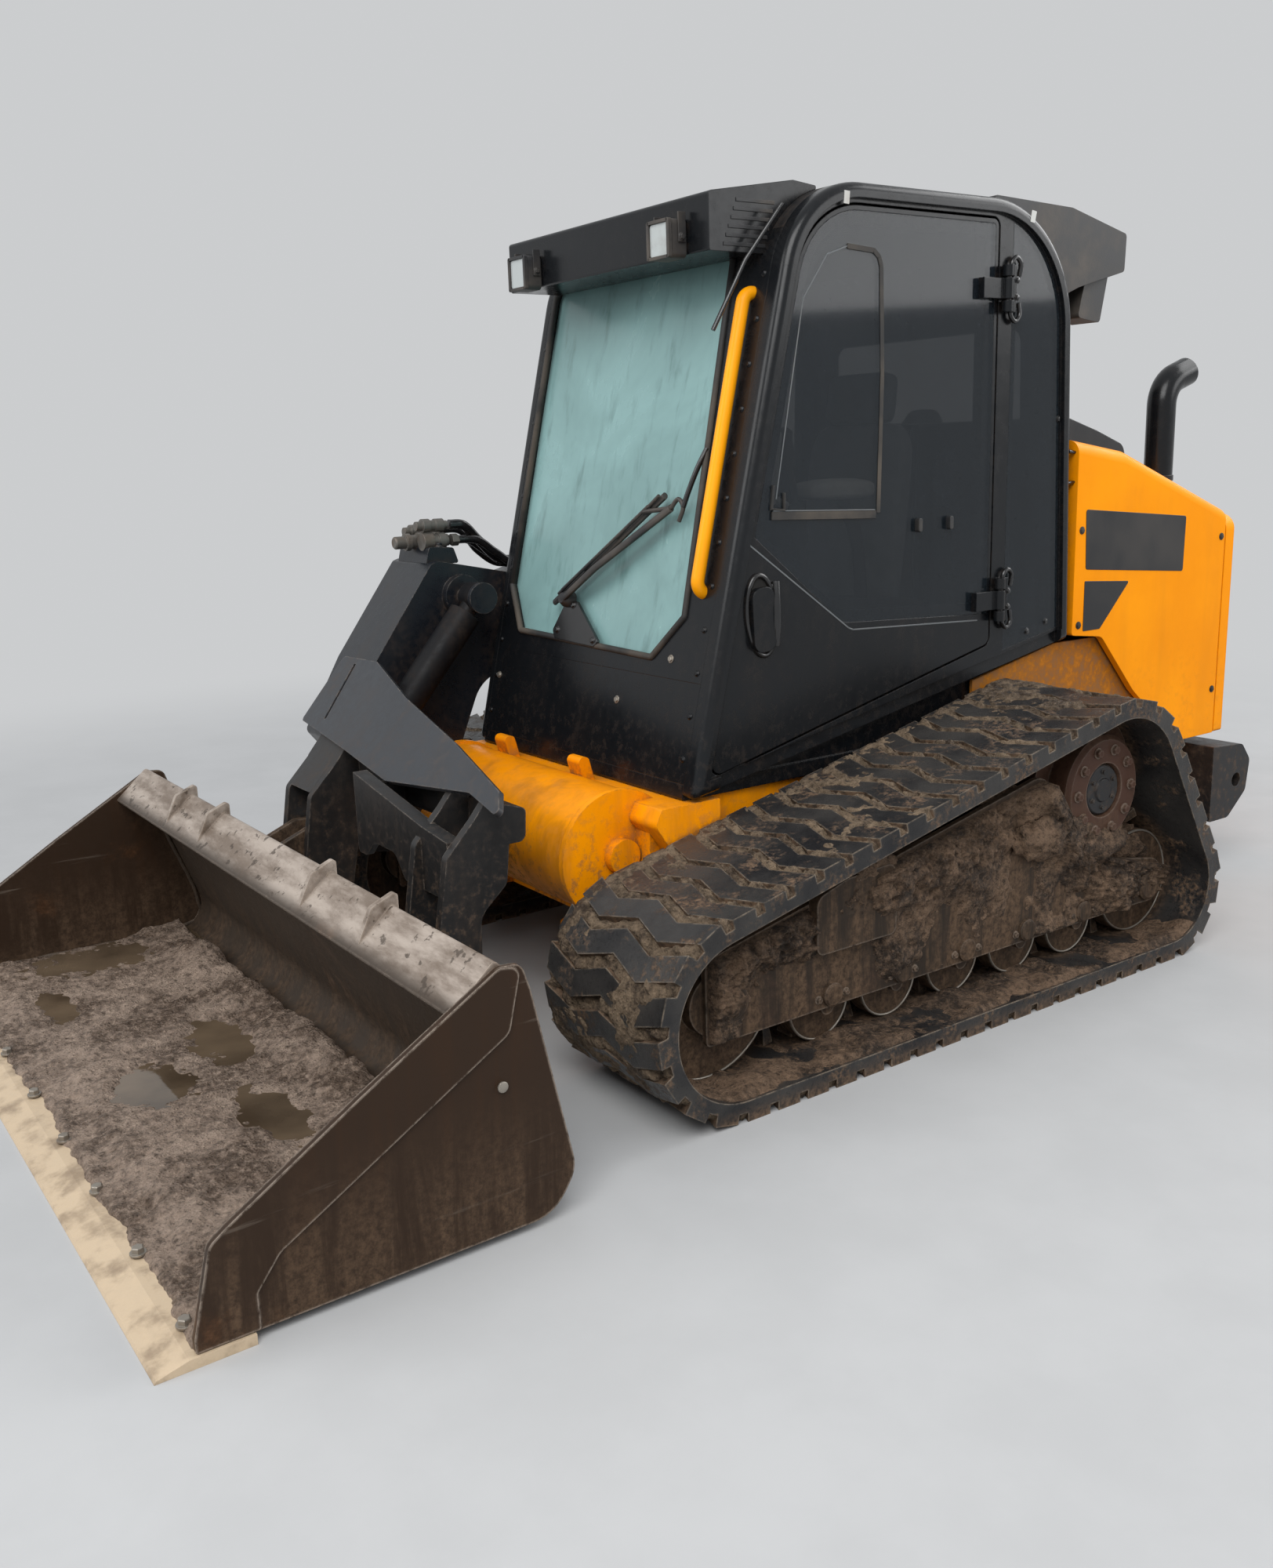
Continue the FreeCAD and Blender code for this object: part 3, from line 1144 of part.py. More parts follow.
def bucket_sides():
    rows = [(-2262, 46, 6), (-2222, 205, 30), (-2190, 228, 30), (-1938, 383, 60), (-1654, 549, 25),
            (-1605, 545, 25), (BUCKET_BACK_TOP_Y, BUCKET_BACK_TOP_Z, 20),
            (BUCKET_BACK_LOW_Y, BUCKET_BACK_LOW_Z, 70), (-1560, BUCKET_FLOOR_Z, 90),
            (EDGE_REAR_Y, BUCKET_FLOOR_Z, 4), (EDGE_REAR_Y, EDGE_THICK + 2, 0), (-2262, EDGE_THICK + 2, 4)]
    band = [(-2262, EDGE_THICK + 2, 4), (-2262, 46, 6), (-2222, 205, 30), (-2190, 228, 30),
            (-1938, 383, 60), (-1654, 549, 25), (-1610, 540, 20), (-1640, 418, 30), (-2104, 150, 40),
            (-2150, 90, 10), (-2150, EDGE_THICK + 2, 4)]
    sides = []
    for side in (-1, 1):
        outer = side * BUCKET_HALF
        inner = side * (BUCKET_HALF - BUCKET_SIDE)
        plate = side_plate(rows, inner, outer - side * 6)
        edge = side_plate(band, outer - side * 7, outer)
        sides.append(fused([plate, edge]))
    return apart(sides)


def cutting_edge():
    rows = [(LIP_Y, 0, 0), (LIP_Y + 4, 6, 0), (LIP_Y + 60, EDGE_THICK, 0),
            (EDGE_REAR_Y, EDGE_THICK, 0), (EDGE_REAR_Y, 0, 0)]
    return side_plate(rows, -BUCKET_HALF - 5, BUCKET_HALF + 5)


def bucket_ribs():
    """Gussets on the sloping face of the top beam."""
    ribs = []
    for x in (-640, -375, 325, 640):
        rows = [(-1740, 480, 2), (-1700, 560, 12), (-1640, 585, 8), (-1640, 540, 2)]
        ribs.append(side_plate(rows, x - 8, x + 8))
    return ribs


def quick_hitch():
    plate_rows = [(back_y(120), 120, 0), (back_y(430), 430, 0), (back_y(430) + 26, 430, 0),
                  (back_y(120) + 26, 120, 0)]
    right_end = TILT_X - 93
    left_end = LEFT_LEG_X + 150
    plate = side_plate(plate_rows, right_end, left_end)
    pieces = [plate]
    foot_y = BUCKET_PIN_Y - HITCH_FOOT
    foot = side_plate([(back_y(120) + 1, 120, 3), (back_y(190) + 20, 190, 3), (foot_y, 150, 8),
                       (foot_y, 110, 8), (back_y(110) + 8, 110, 3)], right_end, left_end)
    pieces.append(foot)
    tilt_ear = [(back_y(400) + 4, 400, 4), (TILT_EYE_Y - 40, TILT_EYE_Z + 58, 40),
                (TILT_EYE_Y + 55, TILT_EYE_Z + 55, 50), (TILT_EYE_Y + 55, TILT_EYE_Z - 60, 40),
                (BUCKET_PIN_Y + 58, BUCKET_PIN_Z + 40, 40), (BUCKET_PIN_Y + 58, BUCKET_PIN_Z - 58, 55),
                (BUCKET_PIN_Y - 50, BUCKET_PIN_Z - 62, 20), (back_y(130) + 4, 130, 4)]
    plain_ear = [(back_y(330) + 4, 330, 4), (BUCKET_PIN_Y - 20, 290, 50),
                 (BUCKET_PIN_Y + 58, BUCKET_PIN_Z + 58, 55), (BUCKET_PIN_Y + 58, BUCKET_PIN_Z - 58, 55),
                 (BUCKET_PIN_Y - 50, BUCKET_PIN_Z - 62, 20), (back_y(130) + 4, 130, 4)]
    for centre, rows in ((TILT_X, tilt_ear), (LEFT_LEG_X, plain_ear)):
        for side in (-1, 1):
            x = centre + side * EAR_OFFSET
            pieces.append(side_plate(rows, x, x + side * EAR_PLATE))
    hitch = fused(pieces)
    for centre in leg_centres():
        hitch = hitch.cut(rod_x(BUCKET_PIN_Y, BUCKET_PIN_Z, BUCKET_PIN + FIT, centre - 90, centre + 90))
    return hitch


# Door

def cab_door():
    frame = side_plate(door_rows(), CAB_CORE, CAB_HALF)
    frame = frame.cut(door_pane_plate(DOOR_RAIL, DOOR_RAIL - PANE_EDGE, CAB_CORE - 1, CAB_HALF + 1))
    frame = frame.cut(door_pane_plate(PANE_EDGE - SEAT_GAP, -SEAT_GAP, PANE_BACK_X - SEAT_GAP,
                                      CAB_HALF + 1))
    pieces = [frame]
    for z in hinge_heights():
        strap = block(CAB_HALF + SEAT_GAP, DOOR_HINGE_X - 2, DOOR_REAR_Y - 75, DOOR_REAR_Y, z - 26, z + 26)
        pieces.append(block(CAB_HALF - 1, CAB_HALF + 1, DOOR_REAR_Y - PANE_EDGE + 1, DOOR_REAR_Y,
                            z - 26, z + 26))
        knuckle = rod_z(DOOR_HINGE_X, DOOR_HINGE_Y, BARREL_RADIUS, z - 26, z + 26)
        arm = block(DOOR_HINGE_X - 16, DOOR_HINGE_X, DOOR_REAR_Y - 5, DOOR_HINGE_Y, z - 26, z + 26)
        pieces += [strap, knuckle, arm]
    handle = side_plate([(-598, 950, 28), (-606, 1110, 28), (-535, 1118, 28), (-527, 958, 28)],
                        CAB_HALF - 1, CAB_HALF + 18)
    pieces.append(handle)
    door = fused(pieces)
    for z in hinge_heights():
        door = door.cut(rod_z(DOOR_HINGE_X, DOOR_HINGE_Y, HINGE_RADIUS + FIT, z - 40, z + 40))
    return door


def door_glass():
    """Glass that lies flush in the door's outer face and covers its frame."""
    return door_pane_plate(PANE_EDGE, 0.0, PANE_BACK_X, CAB_HALF)


def quarter_window():
    return quarter_plate(0.0, PANE_BACK_X, CAB_HALF)


def right_window():
    x = GLASS_INSET - CAB_HALF
    return side_plate(right_window_rows(), x, x + GLASS)


def both_sides(name, shape):
    return {name + "_left": shape, name + "_right": mirrored(shape)}


def all_parts():
    parts = {}
    for name, shape in (("track_belt", track_belt()), ("track_wheels", track_wheels()),
                        ("drive_sprocket", drive_sprocket()), ("track_frame", track_frame())):
        parts.update(both_sides(name, shape))
    builders = (chassis_frame, rear_bumper, boom_tower, cab_side_left, cab_side_right,
                cab_front_panel, windscreen_frame, windscreen, cab_roof, cab_rear_wall, rear_window,
                cab_floor, roof_visor, front_lamps, roof_rear_box, rear_lamp, driver_seat,
                control_consoles, grab_handle, engine_hood, engine_block, radiator, hood_cover,
                exhaust_stack, rear_door, boom_arm, headstock, front_guard,
                aux_couplers, lift_barrel, lift_rod, tilt_barrel, tilt_rod, bucket_shell, bucket_sides,
                cutting_edge, quick_hitch, cab_door, door_glass, quarter_window, right_window)
    for builder in builders:
        parts[builder.__name__] = builder()
    return parts


def main():
    os.makedirs("parts", exist_ok=True)
    for name, shape in all_parts().items():
        placed = shape.copy()
        placed.translate(Vector(0, -MIDDLE_Y, 0))
        placed.exportStep("parts/" + name + ".step")
        box = placed.BoundBox
        print(name, len(placed.Solids), placed.isValid(), round(placed.Volume / 1e6, 2),
              [round(v) for v in (box.XMin, box.XMax, box.YMin, box.YMax, box.ZMin, box.ZMax)])


if __name__ == "__main__":
    main()
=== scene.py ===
import bpy
import bmesh
import math
from mathutils import Matrix, Vector, noise


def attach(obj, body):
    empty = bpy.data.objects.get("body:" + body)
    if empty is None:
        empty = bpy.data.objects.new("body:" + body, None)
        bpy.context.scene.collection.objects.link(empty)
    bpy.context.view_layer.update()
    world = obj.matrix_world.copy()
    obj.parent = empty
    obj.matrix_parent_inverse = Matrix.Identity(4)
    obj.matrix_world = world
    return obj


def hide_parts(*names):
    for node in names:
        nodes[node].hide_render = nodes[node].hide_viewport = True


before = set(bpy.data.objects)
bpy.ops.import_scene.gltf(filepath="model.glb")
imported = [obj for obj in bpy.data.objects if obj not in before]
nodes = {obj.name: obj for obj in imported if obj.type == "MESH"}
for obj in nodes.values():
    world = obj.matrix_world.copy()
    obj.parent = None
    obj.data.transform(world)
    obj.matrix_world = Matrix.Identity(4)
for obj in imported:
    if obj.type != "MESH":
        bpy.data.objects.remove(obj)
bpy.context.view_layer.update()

# Places are written in millimetres, as x to the machine's left, y to its rear and z up,
# from a station below the cab. The object's middle lies STATION_Y in front of that station.
STATION_Y = 395.0


def at(x, y, z):
    return Vector((x, y + STATION_Y, z)) / 1000.0


# Camera and lights

CAMERA_PLACE = (3171.4, -2786.7, 1446.9)
CAMERA_TURN = (55.181, -13.473, -1.914)  # yaw, pitch and roll in degrees
FOCAL_PIXELS = 1765.94
IMAGE_HEIGHT = 2000
SENSOR = 36.0

LIGHTS = (
    # name, place, target, size in metres, power in watts
    ("key", (4.5, -4.0, 6.5), (0, 0, 0.8), (5.0, 5.0), 460),
    ("fill", (-2.0, -7.0, 5.0), (0, 0, 0.8), (5.0, 4.0), 190),
    ("side", (8.0, 7.9, 4.4), (0.5, 0.3, 1.0), (6.5, 3.4), 185),
    ("back", (1.5, 6.0, 5.0), (0, 0, 1.0), (5.0, 4.0), 235),
)


def place_camera():
    yaw, pitch, roll = (math.radians(v) for v in CAMERA_TURN)
    forward = Vector((-math.sin(yaw) * math.cos(pitch), math.cos(yaw) * math.cos(pitch), math.sin(pitch)))
    level = Vector((math.cos(yaw), math.sin(yaw), 0))
    right = level * math.cos(roll) + level.cross(forward) * math.sin(roll)
    data = bpy.data.cameras.new("camera")
    camera = bpy.data.objects.new("camera", data)
    bpy.context.collection.objects.link(camera)
    turn = Matrix((right, right.cross(forward), -forward)).transposed().to_4x4()
    camera.matrix_world = Matrix.Translation(at(*CAMERA_PLACE)) @ turn
    data.sensor_width = SENSOR
    data.lens = FOCAL_PIXELS / IMAGE_HEIGHT * SENSOR
    data.clip_start = 0.05
    data.clip_end = 200
    bpy.context.scene.camera = camera


def soft_light(name, place, target, size, power):
    data = bpy.data.lights.new(name, "AREA")
    data.shape = "RECTANGLE"
    data.size, data.size_y = size
    data.energy = power
    light = bpy.data.objects.new(name, data)
    light.location = place
    light.rotation_mode = "QUATERNION"
    light.rotation_quaternion = (Vector(target) - Vector(place)).to_track_quat("-Z", "Y")
    bpy.context.collection.objects.link(light)


# Materials

class Shader:
    """One material's nodes, with a short call for each kind that the scene needs."""

    def __init__(self, name):
        self.material = bpy.data.materials.new(name)
        self.material.use_nodes = True
        self.tree = self.material.node_tree
        self.tree.nodes.clear()
        self.surface = self.tree.nodes.new("ShaderNodeBsdfPrincipled")
        self.end = self.tree.nodes.new("ShaderNodeOutputMaterial").inputs["Surface"]
        self.tree.links.new(self.surface.outputs[0], self.end)
        self.place = self.tree.nodes.new("ShaderNodeTexCoord").outputs["Object"]
        split = self.node("ShaderNodeSeparateXYZ", Vector=self.place)
        self.rear, self.height = split.outputs["Y"], split.outputs["Z"]

    def node(self, kind, settings=None, **inputs):
        node = self.tree.nodes.new(kind)
        for key, value in (settings or {}).items():
            setattr(node, key, value)
        for key, value in inputs.items():
            self.put(node.inputs[key.replace("_", " ")], value)
        return node

    def put(self, socket, value):
        if isinstance(value, bpy.types.NodeSocket):
            self.tree.links.new(value, socket)
        elif isinstance(value, (tuple, list)) and len(value) == 3 and socket.type == "RGBA":
            socket.default_value = (*value, 1.0)
        else:
            socket.default_value = value

    def set(self, **inputs):
        for key, value in inputs.items():
            self.put(self.surface.inputs[key.replace("_", " ")], value)

    def stretched(self, x, y, z):
        return self.node("ShaderNodeMapping", Vector=self.place, Scale=Vector((x, y, z))).outputs[0]

    def noise(self, scale, detail=4.0, rough=0.55, twist=0.0, where=None):
        made = self.node("ShaderNodeTexNoise", Vector=where or self.place, Scale=scale, Detail=detail,
                         Roughness=rough, Distortion=twist)
        return made.outputs["Fac"]

    def cells(self, scale, feature="F1"):
        made = self.node("ShaderNodeTexVoronoi", {"feature": feature}, Vector=self.place, Scale=scale)
        return made.outputs["Distance"]

    def step(self, value, low, high, floor=0.0, ceiling=1.0):
        """Smooth rise from floor to ceiling while value goes from low to high."""
        made = self.node("ShaderNodeMapRange", {"interpolation_type": "SMOOTHSTEP"}, Value=value,
                         From_Min=low, From_Max=high, To_Min=floor, To_Max=ceiling)
        return made.outputs["Result"]

    def filled(self, made, first, inputs, out):
        """Puts inputs into made's sockets from number first on, and gives its output."""
        for index, value in enumerate(inputs):
            self.put(made.inputs[first + index], value)
        return made.outputs[out]

    def maths(self, kind, *inputs):
        made = self.node("ShaderNodeMath", {"operation": kind, "use_clamp": kind != "SUBTRACT"})
        return self.filled(made, 0, inputs, 0)

    def times(self, *inputs):
        return self.maths("MULTIPLY", *inputs)

    def most(self, *inputs):
        return self.maths("MAXIMUM", *inputs)

    def mixed(self, share, *colours):
        made = self.node("ShaderNodeMix", {"data_type": "RGBA"}, Factor=share)
        return self.filled(made, 6, colours, 2)

    def blend(self, share, *numbers):
        made = self.node("ShaderNodeMix", {"data_type": "FLOAT"}, Factor=share)
        return self.filled(made, 2, numbers, 0)

    def seen(self):
        """1 for what the camera sees, straight or through glass and bright metal."""
        rays = self.node("ShaderNodeLightPath").outputs
        return self.most(rays["Is Camera Ray"], self.most(rays["Is Glossy Ray"], rays["Is Transmission Ray"]))

    def corners(self, distance):
        """Near 1 on open faces and near 0 in corners."""
        return self.node("ShaderNodeAmbientOcclusion", {"samples": 6}, Distance=distance).outputs["AO"]

    def edges(self, radius):
        """Near 1 along outer and inner edges."""
        soft = self.node("ShaderNodeBevel", {"samples": 4}, Radius=radius).outputs[0]
        hard = self.node("ShaderNodeNewGeometry").outputs["Normal"]
        dot = self.node("ShaderNodeVectorMath", {"operation": "DOT_PRODUCT"})
        return self.step(self.filled(dot, 0, (soft, hard), "Value"), 0.99, 0.75)

    def bump(self, height, strength, distance, soft_edge=0.0):
        made = self.node("ShaderNodeBump", Height=height, Strength=strength, Distance=distance)
        if soft_edge:
            rounded = self.node("ShaderNodeBevel", {"samples": 4}, Radius=soft_edge)
            self.put(made.inputs["Normal"], rounded.outputs[0])
        self.set(Normal=made.outputs[0])


MUD = (0.138, 0.086, 0.052)
MUD_DARK = (0.031, 0.020, 0.013)
DUST = (0.28, 0.22, 0.16)
RUST = (0.084, 0.038, 0.017)
WORN_STEEL = (0.22, 0.18, 0.145)
# Worn steel of the bucket's beam; the bright tone is partly a painted sheen.
BEAM_DULL, BEAM_WEAR_AND_SHEEN = (0.165, 0.128, 0.10), (0.38, 0.322, 0.272)
WATER_DEEP, WATER_SHALLOW = (0.05, 0.034, 0.021), (0.13, 0.092, 0.058)


def shade(colour, factor):
    return tuple(min(1.0, c * factor) for c in colour)


def paint(name, colour, rough, coat, grime, low, high, wear, shine=0.5, worn=WORN_STEEL, soiled_and_shaded_behind=None):
    """Sprayed metal with dust, mud splashes from low up to high, rain streaks and worn edges."""
    s = Shader(name)
    patches = s.noise(1.7, 5.0, 0.6)
    fine = s.noise(38.0, 6.0, 0.7)
    tone = s.mixed(s.step(patches, 0.35, 0.7), shade(colour, 0.9), shade(colour, 1.07))
    streaks = s.noise(9.0, 5.0, 0.6, 0.3, s.stretched(1.0, 1.0, 0.12))
    splash = s.times(s.step(s.height, high, low), s.step(fine, 0.47, 0.66))
    film = s.times(s.step(streaks, 0.42, 0.75), s.step(s.height, high + 1.2, low, 0.12, 0.6))
    nooks = s.times(s.step(s.corners(0.09), 0.75, 0.25), s.step(fine, 0.3, 0.6))
    dirt = s.times(s.most(s.most(splash, film), nooks), grime)
    # Behind the given depth, more soil, which also paints the shade the track casts on the fender.
    if soiled_and_shaded_behind:
        behind = s.step(s.rear, soiled_and_shaded_behind, soiled_and_shaded_behind + 0.1)
        dirt = s.most(dirt, s.times(behind, s.step(fine, 0.3, 0.65, 0.5, 0.85)))
    soil = s.mixed(s.step(fine, 0.4, 0.65), MUD_DARK, MUD)
    base = s.mixed(dirt, tone, soil)
    if wear:
        rub = s.times(s.edges(0.006), s.step(s.noise(55.0, 5.0, 0.7), 0.5 - wear * 0.2, 0.62))
        base = s.mixed(s.times(rub, min(1.0, wear * 1.4)), base, worn)
    clean = s.step(fine, 0.2, 0.9, rough * 0.75, rough * 1.35)
    s.set(Base_Color=base, Roughness=s.blend(dirt, clean, 0.8))
    s.set(Specular_IOR_Level=shine, Coat_Weight=coat, Coat_Roughness=0.12)
    s.bump(s.blend(dirt, s.step(patches, 0.3, 0.7, 0.0, 0.25), fine), 0.35, 0.0015, 0.003)
    return s.material


def earth(name, light, dark, wet=0.4, rough=0.85):
    """Wet soil with clods, small stones and glossy damp patches."""
    s = Shader(name)
    big = s.noise(6.0, 6.0, 0.62, 0.4)
    small = s.noise(52.0, 8.0, 0.78)
    stones = s.cells(110.0)
    tone = s.mixed(s.step(big, 0.36, 0.64), dark, light)
    tone = s.mixed(s.step(small, 0.44, 0.72, 0.0, 0.75), tone, shade(light, 1.7))
    tone = s.mixed(s.step(small, 0.5, 0.34, 0.0, 0.85), tone, shade(dark, 0.6))
    tone = s.mixed(s.times(s.step(stones, 0.14, 0.08), s.step(s.noise(21.0), 0.55, 0.62)), tone, DUST)
    damp = s.times(s.step(big, 0.54, 0.4), wet)
    s.set(Base_Color=tone, Roughness=s.blend(damp, rough, 0.16), Specular_IOR_Level=0.25)
    s.bump(s.maths("ADD", s.times(small, 0.7), s.step(stones, 0.0, 0.5, 0.25, 0.0)), 0.9, 0.02)
    return s.material


def scraped_steel(name, colour, rust, paint_left, mud, low, high, shine, bare_and_sheen_above=None):
    """Bucket steel: old paint, brown rust, scratches along the work direction and caked soil."""
    s = Shader(name)
    cloud = s.noise(3.2, 7.0, 0.65, 0.5)
    fine = s.noise(60.0, 7.0, 0.75)
    scratch = s.noise(26.0, 5.0, 0.7, 0.2, s.stretched(1.0, 0.06, 1.0))
    drips = s.noise(16.0, 5.0, 0.65, 0.4, s.stretched(1.0, 1.0, 0.1))
    bare = s.mixed(s.step(fine, 0.35, 0.7), shade(rust, 0.6), shade(rust, 1.35))
    tone = s.mixed(s.step(cloud, 0.62 - paint_left * 0.35, 0.78 - paint_left * 0.3), colour, bare)
    tone = s.mixed(s.step(drips, 0.45, 0.8, 0.0, 0.45), tone, shade(rust, 0.5))
    tone = s.mixed(s.step(scratch, 0.62, 0.74, 0.0, shine), tone, WORN_STEEL)
    # Above the given height: bare worn steel, with lighter streaks that are partly a painted sheen.
    if bare_and_sheen_above:
        specks = s.step(s.noise(34.0, 3.0, 0.6), 0.6, 0.66, 1.0, 0.25)
        bright = s.times(s.step(s.height, bare_and_sheen_above, bare_and_sheen_above + 0.03), specks)
        rubbed_and_sheen = s.noise(13.0, 6.0, 0.7, 0.1, s.stretched(0.3, 1.0, 1.0))
        tone = s.mixed(bright, tone, s.mixed(s.step(rubbed_and_sheen, 0.36, 0.66), BEAM_DULL, BEAM_WEAR_AND_SHEEN))
    soil = s.mixed(s.step(fine, 0.3, 0.7), MUD_DARK, MUD)
    caked = s.times(s.step(s.height, high, low), s.step(drips, 0.38, 0.6))
    caked = s.times(s.most(caked, s.step(s.corners(0.12), 0.8, 0.35, 0.0, 0.9)), mud)
    rub = s.times(s.times(s.edges(0.009), s.step(fine, 0.3, 0.55)), min(0.9, shine * 3))
    base = s.mixed(rub, s.mixed(caked, tone, soil), shade(WORN_STEEL, 1.7))
    s.set(Base_Color=base, Roughness=s.blend(caked, s.step(fine, 0.2, 0.8, 0.34, 0.62), 0.75))
    s.set(Specular_IOR_Level=0.14)
    s.bump(s.maths("ADD", s.times(caked, fine), s.step(scratch, 0.5, 0.8, 0.0, 0.2)), 0.5, 0.003, 0.002)
    return s.material


def tyre_rubber(name):
    """Track rubber, black and damp on the lugs, with soil between them and along their edges."""
    s = Shader(name)
    fine = s.noise(70.0, 6.0, 0.7)
    cloud = s.noise(5.0, 5.0, 0.6)
    tone = s.mixed(s.step(cloud, 0.3, 0.7), (0.011, 0.011, 0.012), (0.04, 0.037, 0.034))
    packed = s.times(s.step(s.corners(0.045), 0.95, 0.6), s.step(fine, 0.2, 0.5, 0.45, 1.0))
    film = s.times(s.step(s.noise(9.0, 6.0, 0.7), 0.5, 0.64), s.step(fine, 0.4, 0.58))
    dirt = s.most(packed, film)
    soil = s.mixed(s.step(fine, 0.35, 0.65), MUD_DARK, MUD)
    fringe = s.times(s.edges(0.007), s.step(s.noise(30.0, 5.0, 0.7), 0.36, 0.6))
    base = s.mixed(s.times(fringe, 0.85), s.mixed(dirt, tone, soil), DUST)
    s.set(Base_Color=base, Roughness=s.blend(dirt, s.step(fine, 0.3, 0.7, 0.22, 0.45), 0.75))
    s.set(Specular_IOR_Level=0.28)
    s.bump(s.times(fine, s.blend(dirt, 0.3, 1.0)), 0.6, 0.004, 0.002)
    return s.material


def moulded(name, colour, rough=0.55, grain=260.0, grime=0.25):
    """Moulded plastic with a fine grain and some dust in its corners."""
    s = Shader(name)
    cloud = s.noise(4.0, 5.0, 0.6)
    dusty = s.times(s.step(cloud, 0.4, 0.7), grime)
    s.set(Base_Color=s.mixed(dusty, colour, DUST), Roughness=s.step(cloud, 0.3, 0.7, rough * 0.85, rough * 1.15))
    s.bump(s.cells(grain, "SMOOTH_F1"), 0.25, 0.0006, 0.002)
    return s.material


def tinted(name, colour, alpha, haze_and_sky_reflection, film_and_reflection_colour, runs):
    """Safety glass seen from outside, with a film of dust and painted sky reflection, dried drops and streaks of
    rain.
    """
    s = Shader(name)
    cloud = s.noise(2.2, 5.0, 0.6, 0.5)
    streaks = s.noise(22.0, 4.0, 0.6, 0.2, s.stretched(1.0, 1.0, 0.06))
    spots = s.times(s.step(s.cells(95.0), 0.12, 0.22, 1.0, 0.0), s.step(s.noise(18.0), 0.52, 0.6))
    # The film is dust and a painted, cloudy reflection of the sky in the film's colour.
    film = s.times(s.step(cloud, 0.3, 0.75, 0.66, 1.0), haze_and_sky_reflection)
    film = s.maths("SUBTRACT", film, s.step(streaks, 0.5, 0.85, 0.0, runs))
    cover = s.most(film, s.times(spots, 0.35))
    s.set(Base_Color=s.mixed(cover, colour, film_and_reflection_colour), Roughness=s.blend(cover, 0.03, 0.3))
    s.set(Alpha=s.blend(cover, alpha, min(1.0, alpha + 0.3)), IOR=1.52, Specular_IOR_Level=0.5)
    return s.material


def still_water(name):
    """Shallow brown water with a mirror surface."""
    s = Shader(name)
    depth = s.step(s.noise(4.0, 4.0, 0.5), 0.3, 0.7)
    s.set(Base_Color=s.mixed(depth, WATER_DEEP, WATER_SHALLOW), Roughness=0.035)
    s.set(IOR=1.33, Coat_Weight=0.4, Coat_Roughness=0.02)
    s.bump(s.noise(26.0, 2.0, 0.4), 0.04, 0.004)
    return s.material


def bright_metal(name, colour, rough, metallic, grime):
    """Bare or plated metal with smears of mud."""
    s = Shader(name)
    fine = s.noise(80.0, 5.0, 0.7)
    dirt = s.times(s.step(s.noise(12.0, 5.0, 0.6), 0.45, 0.7), grime)
    s.set(Base_Color=s.mixed(dirt, colour, MUD), Metallic=metallic)
    s.set(Roughness=s.step(fine, 0.2, 0.8, rough * 0.7, rough * 1.8))
    s.bump(fine, 0.15, 0.001, 0.001)
    return s.material


def cloth(name, colour):
    """Woven cover of the cushions."""
    s = Shader(name)
    weave = s.node("ShaderNodeTexWave", Vector=s.place, Scale=180.0, Distortion=1.0, Detail=1.0)
    worn = s.step(s.noise(6.0, 5.0, 0.6), 0.3, 0.7)
    s.set(Base_Color=s.mixed(worn, colour, shade(colour, 1.7)), Roughness=0.9, Sheen_Weight=0.3)
    s.bump(weave.outputs["Fac"], 0.4, 0.001)
    return s.material


YELLOW = (1.0, 0.315, 0.001)
BLACK = (0.0058, 0.0068, 0.0082)
DARK_GREY = (0.028, 0.031, 0.036)

